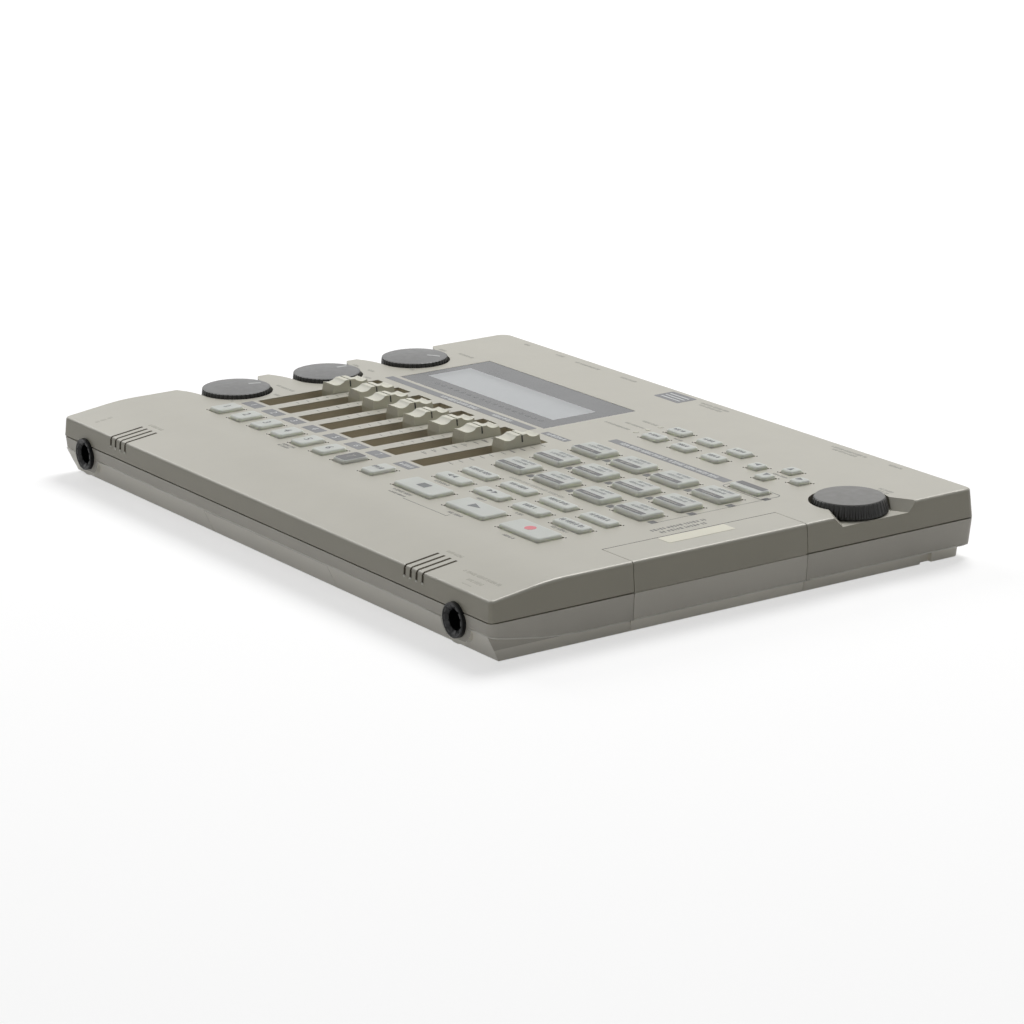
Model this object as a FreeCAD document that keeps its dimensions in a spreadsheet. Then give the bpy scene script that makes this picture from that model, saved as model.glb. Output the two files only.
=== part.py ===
import FreeCAD, Part
import math
import os
import Sketcher

# A desktop digital multitrack recorder, in millimetres.
# The frame: +X to the right, +Y to the rear, +Z up, with the origin at the bottom centre.

# Sizes that drive the model. Each is written once and held in the document's sheet.
DIMENSIONS = {
    # Case
    "case_width": 258.0,
    "case_depth": 184.0,
    "panel_height": 22.35,
    "seam_height": 13.0,
    "seam_gap": 0.4,
    "wall": 2.0,
    "roof": 2.0,
    "floor_thickness": 2.0,
    "foot_drop": 0.6,
    "upper_draft": 4.0,
    "lower_draft": 4.5,
    "top_edge_round": 1.0,
    "corner_right_front": 1.3,
    "corner_right_rear": 2.5,
    "corner_left_rear": 4.5,
    "corner_left_front": 2.0,
    "slope_angle": 7.4,
    "slope_setback": 22.1,
    "slope_blend": 6.0,
    "band_height": 4.25,
    "ledge_thickness": 1.8,
    "plinth_inset": 1.25,
    "plinth_rear_inset": 4.0,
    "undercut_height": 8.5,
    "undercut_depth": 3.8,
    "band_rise_radius": 169.0,
    "band_rise_start": 39.0,
    "tongue_thickness": 1.2,
    "tongue_reach": 1.6,
    "lap_clearance": 0.2,
    "front_wall": 3.3,
    "plinth_notch": 71.4,
    "plinth_notch_width": 4.6,
    "plinth_notch_depth": 1.4,
    # Level knobs
    "knob_inset": 14.5,
    "knob_middle": 5.25,
    "knob_pitch": 36.95,
    "knob_foot_radius": 12.0,
    "knob_top_radius": 11.75,
    "knob_top": 24.35,
    "knob_recess_radius": 12.7,
    "knob_recess_floor": 18.95,
    "knob_flare_angle": 30.0,
    "knob_lip_radius": 3.0,
    "knob_lip_inset": 0.5,
    "knob_ribs": 48.0,
    "knob_rib_radius": 0.45,
    "knob_dome": 0.55,
    "knob_rim": 0.6,
    "shaft_radius": 3.0,
    "shaft_clearance": 0.05,
    "shaft_hole": 4.0,
    "shaft_head": 1.6,
    "running_gap": 0.4,
    # Dial
    "dial_inset": 13.1,
    "dial_setback": 51.6,
    "dial_foot_radius": 12.2,
    "dial_top_radius": 11.2,
    "dial_recess_radius": 12.8,
    "dial_recess_floor": 19.0,
    "dial_notch_throat": 11.8,
    "dial_notch_floor": 26.7,
    "dial_notch_lean": 42.0,
    "dial_top": 24.0,
    "dial_ribs": 44.0,
    "dial_rib_radius": 0.6,
    "dial_dome": 0.2,
    "dial_rim": 0.5,
    # Faders
    "fader_lead": 20.7,
    "fader_pitch": 13.1,
    "fader_master_gap": 16.6,
    "fader_master": 1.4,
    "slot_width": 8.0,
    "slot_length": 48.9,
    "slot_middle": 8.65,
    "slot_floor": 18.2,
    "slot_wall": 1.0,
    "slit_width": 2.0,
    "cap_length": 14.6,
    "cap_width": 7.3,
    "cap_top_width": 6.2,
    "cap_end_height": 3.15,
    "cap_ridge_height": 3.95,
    "cap_ridge_width": 4.0,
    "cap_end_lean": 0.4,
    "cap_dip_radius": 4.4,
    "cap_skirt": 3.15,
    "cap_groove_width": 0.5,
    "cap_groove_depth": 0.4,
    "stem_width": 1.2,
    "stem_length": 5.0,
    "stem_reach": 8.0,
    "slide_body_width": 9.0,
    "slide_body_length": 45.0,
    "slide_body_height": 7.0,
    "slide_slot_length": 38.0,
    "slide_slot_floor": 1.0,
    "slide_slot_gap": 0.2,
    "board_relief": 0.6,
    # Keys
    "key_gap": 0.25,
    "key_height": 1.25,
    "key_tall_height": 1.65,
    "key_corner": 1.3,
    "key_round": 0.85,
    "key_plate": 0.4,
    "key_plate_margin": 0.5,
    "key_plate_gap": 0.2,
    "track_key_width": 7.6,
    "track_key_depth": 10.5,
    "track_key_middle": 47.75,
    "transport_first": 27.7,
    "transport_last_inset": 43.1,
    "transport_width": 21.7,
    "transport_depth": 10.2,
    "transport_middle": 47.8,
    "grid_first": 24.85,
    "grid_last_inset": 40.1,
    "grid_key_width": 15.4,
    "locate_row": 34.4,
    "edit_row": 24.25,
    "narrow_key_depth": 6.1,
    "function_row": 9.5,
    "function_row_pitch": 15.03,
    "function_key_depth": 9.95,
    "framed_key_middle": 33.75,
    "utility_first": 22.65,
    "utility_pitch": 15.9,
    "utility_key_width": 9.45,
    "utility_key_depth": 6.1,
    "utility_row": 46.45,
    "utility_row_pitch": 10.4,
    "cursor_lead": 16.05,
    "cursor_last_inset": 37.0,
    "cursor_middle_row": 51.3,
    "cursor_reach_side": 10.75,
    "cursor_reach_ahead": 5.45,
    "cursor_key": 5.9,
    "utility_strip_front": 39.0,
    "utility_strip_width": 2.4,
    # Display and indicator lights
    "lens_lead": 17.5,
    "lens_width": 87.4,
    "lens_front": 24.6,
    "lens_depth": 38.1,
    "lens_thickness": 1.15,
    "lens_recess": 1.2,
    "screen_inset": 3.0,
    "screen_width": 78.4,
    "screen_front": 32.4,
    "screen_depth": 20.2,
    "module_margin_side": 1.5,
    "module_margin_ahead": 3.5,
    "module_thickness": 1.8,
    "light_column": 12.2,
    "light_first": 46.5,
    "light_pitch": 5.1,
    "light_radius": 0.9,
    "light_clearance": 0.1,
    "light_proud": 0.1,
    "light_base": 3.0,
    # Boards
    "board_thickness": 1.4,
    "panel_board_low": 17.0,
    "panel_board_front": 58.0,
    "panel_board_setback": 28.0,
    "panel_board_gap": 3.3,
    "panel_board_inset": 29.0,
    "mat_thickness": 0.5,
    "mat_margin": 2.2,
    "fader_board_low": 8.5,
    "fader_board_front": 31.0,
    "fader_board_rear": 16.0,
    "fader_board_side": 6.4,
    "knob_board_low": 8.6,
    "knob_board_width": 18.0,
    "knob_board_depth": 90.0,
    "pot_body": 10.0,
    "main_board_low": 4.6,
    "main_board_thickness": 1.6,
    "main_board_left": 6.0,
    "main_board_gap": 2.0,
    "main_board_front": 27.0,
    "main_board_setback": 12.0,
    "main_board_wing_inset": 17.0,
    "main_board_wing_front": 30.0,
    "chip_size": 18.0,
    "chip_height": 1.6,
    "dial_wing_width": 14.0,
    "ribbon_thickness": 0.4,
    "ribbon_width": 30.0,
    "support_size": 4.0,
    # Jacks and rear sockets
    "jack_right_inset": 18.2,
    "jack_left_inset": 16.0,
    "jack_height": 9.8,
    "jack_bore": 3.2,
    "jack_bore_depth": 24.0,
    "jack_barrel": 5.35,
    "jack_clearance": 0.1,
    "jack_proud": 1.0,
    "jack_chamfer": 0.9,
    "jack_body_width": 15.0,
    "jack_body_height": 13.2,
    "jack_body_depth": 23.0,
    "jack_boss": 8.5,
    "rear_jack_inset": 25.0,
    "rear_jack_pitch": 26.0,
    "phone_lead": 24.0,
    "phone_barrel": 3.2,
    "phone_bore": 1.8,
    "line_lead": 18.0,
    "line_pitch": 14.0,
    "line_barrel": 4.1,
    "line_bore": 1.7,
    "line_body_height": 10.0,
    "usb_place": 10.0,
    "usb_width": 12.0,
    "usb_height": 10.8,
    "usb_mouth_width": 8.6,
    "usb_mouth_height": 7.8,
    "usb_mouth_depth": 9.0,
    "inlet_inset": 79.0,
    "inlet_barrel": 4.6,
    "inlet_bore": 2.75,
    "inlet_pin": 1.0,
    "inlet_depth": 9.0,
    "switch_inset": 41.0,
    "switch_window": 9.0,
    "switch_window_height": 4.6,
    "switch_travel": 3.0,
    "slider_width": 5.0,
    "slider_height": 4.2,
    "slider_depth": 7.0,
    "slider_proud": 0.6,
    "socket_body_depth": 12.0,
    "socket_body_height": 9.0,
    # Microphones
    "mic_slot_width": 0.8,
    "mic_slot_pitch": 3.2,
    "mic_right_inset": 40.35,
    "mic_left_inset": 38.4,
    "mic_slot_reach": 12.5,
    "mic_slot_low": 16.6,
    "mic_radius": 4.8,
    "mic_length": 3.6,
    "mic_setback": 9.6,
    # Card cover and socket
    "card_cover_front": 40.7,
    "card_cover_rear": 24.5,
    "card_cover_inset": 15.9,
    "card_cover_gap": 0.2,
    "card_cover_groove": 0.35,
    "card_hinge_inset": 3.2,
    "card_hinge_height": 2.6,
    "card_hinge_radius": 0.8,
    "card_hinge_clearance": 0.06,
    "card_hinge_pin": 1.1,
    "card_hinge_swing": 2.7,
    "card_wall_inset": 17.5,
    "card_wall_thickness": 1.5,
    "card_socket_length": 40.0,
    "card_socket_width": 47.0,
    "card_socket_height": 5.8,
    "card_slot_width": 43.4,
    "card_slot_height": 4.4,
    "card_slot_length": 36.0,
    "card_socket_middle": 4.5,
    # Battery bay
    "battery_middle": 2.6,
    "battery_cover_width": 74.4,
    "battery_cover_rear": 28.0,
    "battery_cover_thickness": 1.2,
    "battery_cover_gap": 0.2,
    "bay_width": 59.4,
    "bay_front": 85.9,
    "bay_rear": 32.5,
    "bay_height": 14.5,
    "bay_wall": 1.0,
    "bay_roof": 0.6,
    "bay_shelf": 1.6,
    "cell_diameter": 14.6,
    "contact_plate": 8.0,
    "contact_thickness": 0.4,
    "spring_length": 3.0,
    "spring_base": 3.4,
    "spring_tip": 1.8,
    # Posts, screws and feet
    "post_radius": 3.5,
    "post_side": 8.0,
    "post_end": 10.0,
    "post_front_right_inset": 55.0,
    "post_front_left_inset": 53.0,
    "post_middle_right": 50.0,
    "post_middle_left": 56.0,
    "post_joint": 13.4,
    "screw_radius": 1.4,
    "screw_clearance": 0.1,
    "screw_head_radius": 2.7,
    "screw_head_height": 1.0,
    "screw_length": 17.0,
    "foot_radius": 6.0,
    "foot_seat": 0.8,
    "foot_inset": 17.0,
    "foot_ahead": 76.0,
}

# Where each fader cap rests, from its slot's middle.
CAP_RESTS = (8.55, 10.95, 8.15, 9.55, 7.55, 8.95, 10.05, 14.55)


class Term:
    """A size: its value, and the formula that drives it in the document."""

    def __init__(self, value, text):
        self.value = float(value)
        self.text = text

    def __add__(self, other):
        other = as_term(other)
        return Term(self.value + other.value, f"({self.text} + {other.text})")

    def __radd__(self, other):
        return as_term(other) + self

    def __sub__(self, other):
        other = as_term(other)
        return Term(self.value - other.value, f"({self.text} - {other.text})")

    def __rsub__(self, other):
        return as_term(other) - self

    def __mul__(self, other):
        other = as_term(other)
        return Term(self.value * other.value, f"({self.text} * {other.text})")

    def __rmul__(self, other):
        return as_term(other) * self

    def __truediv__(self, other):
        other = as_term(other)
        return Term(self.value / other.value, f"({self.text} / {other.text})")

    def __neg__(self):
        return Term(-self.value, f"(0 - {self.text})")


def as_term(value):
    return value if isinstance(value, Term) else Term(value, repr(float(value)))


def tangent(angle):
    return Term(math.tan(math.radians(angle.value)), f"tan({angle.text})")


def sine(angle):
    return Term(math.sin(math.radians(angle.value)), f"sin({angle.text})")


def cosine(angle):
    return Term(math.cos(math.radians(angle.value)), f"cos({angle.text})")


def arc_height(radius, reach):
    """How far an arc leaves its tangent over a reach along it."""
    value = radius.value - math.sqrt(radius.value**2 - reach.value**2)
    text = f"({radius.text} - sqrt({radius.text}^2 - {reach.text}^2))"
    return Term(value, text)


class SizeSheet:
    """The document's sheet of sizes; each size is read as an attribute."""

    def __init__(self, document, dimensions):
        sheet = document.addObject("Spreadsheet::Sheet", "Sizes")
        for row, (name, value) in enumerate(dimensions.items(), start=1):
            sheet.set(f"A{row}", name)
            sheet.set(f"B{row}", str(value))
            sheet.setAlias(f"B{row}", name)
            setattr(self, name, Term(value, f"Sizes.{name}"))


document = FreeCAD.newDocument("MultitrackRecorder")
size = SizeSheet(document, DIMENSIONS)
document.recompute()
nodes = []


def drive(item, prop, value):
    item.setExpression(prop, as_term(value).text)


def publish(name, item):
    """Names a finished sub-part; its label names its file."""
    item.Label = name
    nodes.append(item)
    return item


def span(middle, length):
    return (as_term(middle) - length / 2, as_term(middle) + length / 2)


# Sketches and bodies


def place_point(drawing, edge, end, corner):
    across, along = (as_term(value) for value in corner)
    for kind, value in (("DistanceX", across), ("DistanceY", along)):
        index = drawing.addConstraint(Sketcher.Constraint(kind, -1, 1, edge, end, value.value))
        drawing.setExpression(f"Constraints[{index}]", value.text)


def arc_between(start, stop, radius, turn):
    """An arc of less than half a turn; turn is 1 with its centre on the left, -1 on the right."""
    chord = stop - start
    rise = math.sqrt(max(radius**2 - (chord.Length / 2) ** 2, 0.0))
    left = FreeCAD.Vector(-chord.y, chord.x, 0).normalize()
    middle = (start + stop) / 2 + left * (rise * turn)
    first, last = (start, stop) if turn > 0 else (stop, start)
    angles = [math.atan2(p.y - middle.y, p.x - middle.x) for p in (first, last)]
    circle = Part.Circle(middle, FreeCAD.Vector(0, 0, 1), radius)
    return Part.ArcOfCircle(circle, angles[0], angles[1])


def loop(*corners, arcs=()):
    """A closed loop through the corners; arcs holds (edge, radius, turn) for its curved edges."""
    bends = {edge: (as_term(radius), turn) for edge, radius, turn in arcs}

    def draw(drawing):
        first = drawing.GeometryCount
        points = [FreeCAD.Vector(as_term(c[0]).value, as_term(c[1]).value, 0) for c in corners]
        ends = []
        for edge, start in enumerate(points):
            stop = points[(edge + 1) % len(points)]
            if edge in bends:
                radius, turn = bends[edge]
                drawing.addGeometry(arc_between(start, stop, radius.value, turn), False)
                ends.append((1, 2) if turn > 0 else (2, 1))
            else:
                drawing.addGeometry(Part.LineSegment(start, stop), False)
                ends.append((1, 2))
        for edge, corner in enumerate(corners):
            after = (edge + 1) % len(corners)
            drawing.addConstraint(
                Sketcher.Constraint(
                    "Coincident", first + edge, ends[edge][1], first + after, ends[after][0]
                )
            )
            place_point(drawing, first + edge, ends[edge][0], corner)
        for edge, (radius, turn) in bends.items():
            index = drawing.addConstraint(
                Sketcher.Constraint("Radius", first + edge, radius.value)
            )
            drawing.setExpression(f"Constraints[{index}]", radius.text)

    return draw


def rectangle(across, along):
    return loop(
        (across[0], along[0]),
        (across[1], along[0]),
        (across[1], along[1]),
        (across[0], along[1]),
    )


def circle(across, along, radius):
    def draw(drawing):
        first = drawing.GeometryCount
        middle = FreeCAD.Vector(as_term(across).value, as_term(along).value, 0)
        normal = FreeCAD.Vector(0, 0, 1)
        drawing.addGeometry(Part.Circle(middle, normal, as_term(radius).value), False)
        place_point(drawing, first, 3, (across, along))
        index = drawing.addConstraint(
            Sketcher.Constraint("Radius", first, as_term(radius).value)
        )
        drawing.setExpression(f"Constraints[{index}]", as_term(radius).text)

    return draw


def new_body(name):
    body = document.addObject("PartDesign::Body", name)
    body.Label = name
    return body


def sketch(body, plane, height, *loops):
    """Draws the loops on one of the body's own planes, raised along its normal."""
    drawing = body.newObject("Sketcher::SketchObject", "Outline")
    role = f"{plane}_Plane"
    base = next(item for item in body.Origin.OriginFeatures if item.Role == role)
    drawing.AttachmentSupport = [(base, "")]
    drawing.MapMode = "FlatFace"
    drive(drawing, "AttachmentOffset.Base.z", height)
    for draw in loops:
        draw(drawing)
    return drawing


def pad(body, drawing, length, taper=None):
    feature = body.newObject("PartDesign::Pad", "Pad")
    feature.Profile = drawing
    drive(feature, "Length", length)
    if taper is not None:
        drive(feature, "TaperAngle", taper)
    return feature


def fillet(body, base, radius, chosen):
    """Rounds the edges of the base feature that the test picks."""
    document.recompute()
    names = [f"Edge{i}" for i, edge in enumerate(base.Shape.Edges, start=1) if chosen(edge)]
    if not names:
        raise RuntimeError(f"{body.Label} has no edge to round")
    feature = body.newObject("PartDesign::Fillet", "Fillet")
    feature.Base = (base, names)
    drive(feature, "Radius", radius)
    return feature


def prism(name, plane, low, high, *loops, taper=None):
    """A body padded from low to high along the plane's axis."""
    body = new_body(name)
    height = -as_term(high) if plane == "XZ" else low
    pad(body, sketch(body, plane, height, *loops), as_term(high) - low, taper)
    return body


# Primitives and booleans


def box(name, x, y, z):
    item = document.addObject("Part::Box", name)
    for prop, place, pair in (("Length", "x", x), ("Width", "y", y), ("Height", "z", z)):
        drive(item, prop, as_term(pair[1]) - pair[0])
        drive(item, f"Placement.Base.{place}", pair[0])
    return item


TURNS = {
    "X": FreeCAD.Rotation(FreeCAD.Vector(0, 1, 0), 90),
    "Y": FreeCAD.Rotation(FreeCAD.Vector(1, 0, 0), -90),
    "Z": FreeCAD.Rotation(),
}


def round_bar(name, axis, foot, length, radius, far_radius=None):
    """A cylinder, or a cone with a far radius, from its foot along an axis."""
    kind = "Part::Cylinder" if far_radius is None else "Part::Cone"
    item = document.addObject(kind, name)
    item.Placement.Rotation = TURNS[axis]
    for place, value in zip("xyz", foot):
        drive(item, f"Placement.Base.{place}", value)
    drive(item, "Height", length)
    if far_radius is None:
        drive(item, "Radius", radius)
    else:
        drive(item, "Radius1", radius)
        drive(item, "Radius2", far_radius)
    return item


def joined(name, items):
    if len(items) == 1:
        return items[0]
    item = document.addObject("Part::MultiFuse", name)
    item.Shapes = items
    item.Refine = True
    return item


def removed(name, base, tools):
    item = document.addObject("Part::Cut", name)
    item.Base = base
    item.Tool = joined(f"{name}_tools", tools)
    item.Refine = True
    return item


def shared(name, first, second):
    item = document.addObject("Part::Common", name)
    item.Base = first
    item.Tool = second
    return item


def gathered(name, items):
    """Separate solids of one sub-part."""
    item = document.addObject("Part::Compound", name)
    item.Links = items
    return item


def placed(name, form, x, y):
    """One of several alike sub-parts, set in its place."""
    item = gathered(name, [form])
    drive(item, "Placement.Base.x", x)
    drive(item, "Placement.Base.y", y)
    return publish(name, item)


# Places that several sub-parts share

half_width = size.case_width / 2
half_depth = size.case_depth / 2
seam_low = size.seam_height - size.seam_gap / 2
seam_high = size.seam_height + size.seam_gap / 2
roof_low = size.panel_height - size.roof
floor_top = size.foot_drop + size.floor_thickness
inner_width = size.case_width - 2 * size.wall
inner_depth = size.case_depth - 2 * size.wall
slope_rise = tangent(size.slope_angle)
slope_break = -half_depth + size.slope_setback
board_top = size.panel_board_low + size.board_thickness
mat_top = board_top + size.mat_thickness
plate_top = roof_low - size.key_plate_gap
plate_low = plate_top - size.key_plate
main_top = size.main_board_low + size.main_board_thickness
fader_board_top = size.fader_board_low + size.board_thickness
knob_column = -half_width + size.knob_inset
dial_column = half_width - size.dial_inset
beyond = size.wall * 2

fader_first = knob_column + size.fader_lead
fader_stretch = (size.fader_master - fader_first) / (
    size.fader_pitch * 6 + size.fader_master_gap
)
fader_columns = [fader_first + size.fader_pitch * i * fader_stretch for i in range(7)]
fader_columns.append(size.fader_master)
knob_rows = [size.knob_middle + size.knob_pitch * (i - 1) for i in range(3)]
knob_lip = size.knob_lip_inset - half_width
knob_lip_back = size.knob_lip_radius * (1 - sine(size.knob_flare_angle))
knob_flare_radius = (knob_column - knob_lip - knob_lip_back) / sine(size.knob_flare_angle)
knob_flare_start = knob_lip + knob_lip_back
knob_flare_rise = knob_flare_radius * (1 - cosine(size.knob_flare_angle))
knob_flare_half = size.knob_recess_radius + knob_flare_rise
knob_lip_half = knob_flare_half + size.knob_lip_radius * cosine(size.knob_flare_angle)
dial_notch_top = size.dial_notch_floor + (
    size.panel_height - size.dial_recess_floor
) * 2 * tangent(size.dial_notch_lean)
slot_middle = -size.slot_middle
slot_span = span(slot_middle, size.slot_length)
transport_pitch = (half_width - size.transport_last_inset - size.transport_first) / 2
transport_columns = [size.transport_first + transport_pitch * i for i in range(3)]
grid_pitch = (half_width - size.grid_last_inset - size.grid_first) / 3
grid_columns = [size.grid_first + grid_pitch * i for i in range(4)]
function_rows = [-size.function_row + size.function_row_pitch * i for i in range(3)]
cursor_last = half_width - size.cursor_last_inset
utility_stretch = (cursor_last - size.utility_first) / (
    size.utility_pitch * 2 + size.cursor_lead + size.cursor_reach_side * 2
)
utility_pitch = size.utility_pitch * utility_stretch
utility_columns = [size.utility_first + utility_pitch * i for i in range(3)]
utility_rows = [size.utility_row, size.utility_row + size.utility_row_pitch]
light_rows = [size.light_first + size.light_pitch * i for i in range(3)]
lens_left = knob_column + size.lens_lead
screen_left = lens_left + size.screen_inset
panel_left = knob_column + size.knob_recess_radius + size.panel_board_gap
panel_right = half_width - size.panel_board_inset
panel_rear = half_depth - size.panel_board_setback
cursor_side = size.cursor_reach_side * utility_stretch
cursor_column = cursor_last - cursor_side
cursor_places = (
    (cursor_column - cursor_side, size.cursor_middle_row),
    (cursor_column, size.cursor_middle_row - size.cursor_reach_ahead),
    (cursor_column, size.cursor_middle_row + size.cursor_reach_ahead),
    (cursor_last, size.cursor_middle_row),
)
rear_jack_first = size.rear_jack_inset - half_width
rear_jacks = [rear_jack_first + size.rear_jack_pitch * i for i in range(2)]
phone_column = rear_jacks[1] + size.phone_lead
line_places = [phone_column + size.line_lead + size.line_pitch * i for i in range(2)]
line_case_width = size.line_pitch - size.lap_clearance * 2
inlet_column = half_width - size.inlet_inset
switch_column = half_width - size.switch_inset
mic_columns = (half_width - size.mic_right_inset, size.mic_left_inset - half_width)
foot_column = half_width - size.foot_inset
post_middle = (size.usb_place + inlet_column) / 2
post_right = half_width - size.post_side
post_rear = half_depth - size.post_side
post_front = -half_depth + size.post_end
post_places = (
    (half_width - size.post_front_right_inset, post_front),
    (size.post_front_left_inset - half_width, post_front),
    (post_right, -size.post_middle_right),
    (-post_right, -size.post_middle_left),
    (post_right, post_rear),
    (-post_right, post_rear),
    (post_middle, post_rear),
)
card_cover_span = (-size.card_cover_front, size.card_cover_rear)
card_cover_cut = (
    card_cover_span[0] - size.card_cover_gap,
    card_cover_span[1] + size.card_cover_gap,
)
card_cover_edge = half_width - size.card_cover_inset
card_wall = (
    half_width - size.card_wall_inset - size.card_wall_thickness,
    half_width - size.card_wall_inset,
)
main_right = card_wall[0] - size.main_board_gap
main_wing = size.main_board_wing_inset - half_width
main_rear = half_depth - size.main_board_setback
hinge_column = half_width - size.card_hinge_inset
lower_inset = (seam_low - size.band_height) * tangent(size.lower_draft)
plinth_top_half = half_width - lower_inset - size.plinth_inset
plinth_low_half = plinth_top_half - (size.band_height - size.foot_drop) * tangent(
    size.lower_draft
)
plinth_rear = half_depth - size.plinth_rear_inset
undercut_front = -half_depth + (seam_low - size.undercut_height) * tangent(size.lower_draft)
undercut_lean = size.undercut_depth / (size.undercut_height - size.foot_drop)
cover_top = size.foot_drop + size.battery_cover_thickness


def undercut(height):
    """Where the front undercut's face lies at a height."""
    return undercut_front + (size.undercut_height - height) * undercut_lean


battery_cover_span = span(size.battery_middle, size.battery_cover_width)
bay_across = span(size.battery_middle, size.bay_width)
bay_along = (-size.bay_front, -size.bay_rear)
bay_top = cover_top + size.bay_height
jack_places = (
    (half_width - size.jack_right_inset, "right"),
    (size.jack_left_inset - half_width, "left"),
)
rear_jack_height = main_top + size.jack_body_height / 2
line_height = main_top + size.line_body_height / 2
socket_face = (
    inner_depth / 2 - size.lap_clearance - size.tongue_thickness - size.jack_clearance
)
usb_across = span(size.usb_place, size.usb_width)
usb_along = (main_top, main_top + size.usb_height)
inlet_height = main_top + size.inlet_barrel
switch_height = main_top + size.socket_body_height / 2
front_face = -undercut(size.foot_drop) - size.wall - size.lap_clearance
cell_height = cover_top + size.cell_diameter / 2
slot_low = main_top + (size.card_socket_height - size.card_slot_height) / 2
pot_room = size.knob_recess_floor - size.roof - size.running_gap


def roof_under(along):
    """The roof's inner height over the sloping front edge."""
    return roof_low - (slope_break - along) * slope_rise


# Cutters that both shells share


def wall_openings():
    """Holes for the jacks and sockets in the front and rear walls."""
    tools = []
    hole = size.jack_barrel + size.jack_clearance
    for place, side in jack_places:
        foot = (place, -half_depth - beyond, size.jack_height)
        tools.append(round_bar(f"FrontJackHole_{side}", "Y", foot, beyond * 3, hole))
    for place in rear_jacks:
        foot = (place, half_depth - beyond, rear_jack_height)
        tools.append(round_bar("RearJackHole", "Y", foot, beyond * 2, hole))
    rounds = [(phone_column, line_height, size.phone_barrel)]
    rounds += [(place, line_height, size.line_barrel) for place in line_places]
    rounds.append((inlet_column, inlet_height, size.inlet_barrel))
    for place, height, radius in rounds:
        foot = (place, half_depth - beyond, height)
        clear = radius + size.jack_clearance
        tools.append(round_bar("SocketHole", "Y", foot, beyond * 2, clear))
    clear = size.jack_clearance
    across = (usb_across[0] - clear, usb_across[1] + clear)
    along = (usb_along[0] - clear, usb_along[1] + clear)
    tools.append(box("UsbHole", across, (half_depth - beyond, half_depth + beyond), along))
    across = span(switch_column, size.switch_window)
    along = span(switch_height, size.switch_window_height)
    tools.append(box("SwitchHole", across, (half_depth - beyond, half_depth + beyond), along))
    return tools


openings = wall_openings()


# Top shell


def key_opening(across, along):
    return box("KeyOpening", across, along, (roof_low - beyond, size.panel_height + beyond))


def key_openings():
    tools = []
    for column in fader_columns:
        across = span(column, size.track_key_width)
        tools.append(key_opening(across, span(-size.track_key_middle, size.track_key_depth)))
    for column in transport_columns:
        across = span(column, size.transport_width)
        tools.append(key_opening(across, span(-size.transport_middle, size.transport_depth)))
    for column in grid_columns:
        across = span(column, size.grid_key_width)
        for row in (-size.locate_row, -size.edit_row):
            tools.append(key_opening(across, span(row, size.narrow_key_depth)))
        for row in function_rows:
            tools.append(key_opening(across, span(row, size.function_key_depth)))
    across = span(grid_columns[3], size.grid_key_width)
    tools.append(key_opening(across, span(size.framed_key_middle, size.narrow_key_depth)))
    for column in utility_columns:
        for row in utility_rows:
            across = span(column, size.utility_key_width)
            tools.append(key_opening(across, span(row, size.utility_key_depth)))
    for column, row in cursor_places:
        tools.append(key_opening(span(column, size.cursor_key), span(row, size.cursor_key)))
    return tools


def knob_scallop(row):
    """A round recess that flares out through the left edge, with round lips beside it."""
    radius = size.knob_recess_radius
    flare = knob_flare_radius
    lip = size.knob_lip_radius
    edge = -half_width - size.wall
    shape = loop(
        (knob_column, row - radius),
        (knob_column + radius, row),
        (knob_column, row + radius),
        (knob_flare_start, row + knob_flare_half),
        (knob_lip, row + knob_lip_half),
        (edge, row + knob_lip_half),
        (edge, row - knob_lip_half),
        (knob_lip, row - knob_lip_half),
        (knob_flare_start, row - knob_flare_half),
        arcs=(
            (0, radius, 1),
            (1, radius, 1),
            (2, flare, -1),
            (3, lip, -1),
            (7, lip, -1),
            (8, flare, -1),
        ),
    )
    high = size.panel_height + beyond
    return prism("Scallop", "XY", size.knob_recess_floor, high, shape)


def dial_notch():
    """The way out of the dial's recess to the right edge, with leaning sides."""
    edge = half_width + beyond
    flare = (size.dial_notch_floor - size.dial_notch_throat) / 2 / size.dial_inset
    throat = size.dial_notch_throat / 2
    mouth = size.dial_notch_floor / 2 + beyond * flare
    shape = loop(
        (dial_column, size.dial_setback - throat),
        (edge, size.dial_setback - mouth),
        (edge, size.dial_setback + mouth),
        (dial_column, size.dial_setback + throat),
    )
    high = size.panel_height + beyond
    return prism(
        "DialNotch", "XY", size.dial_recess_floor, high, shape, taper=size.dial_notch_lean
    )


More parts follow.
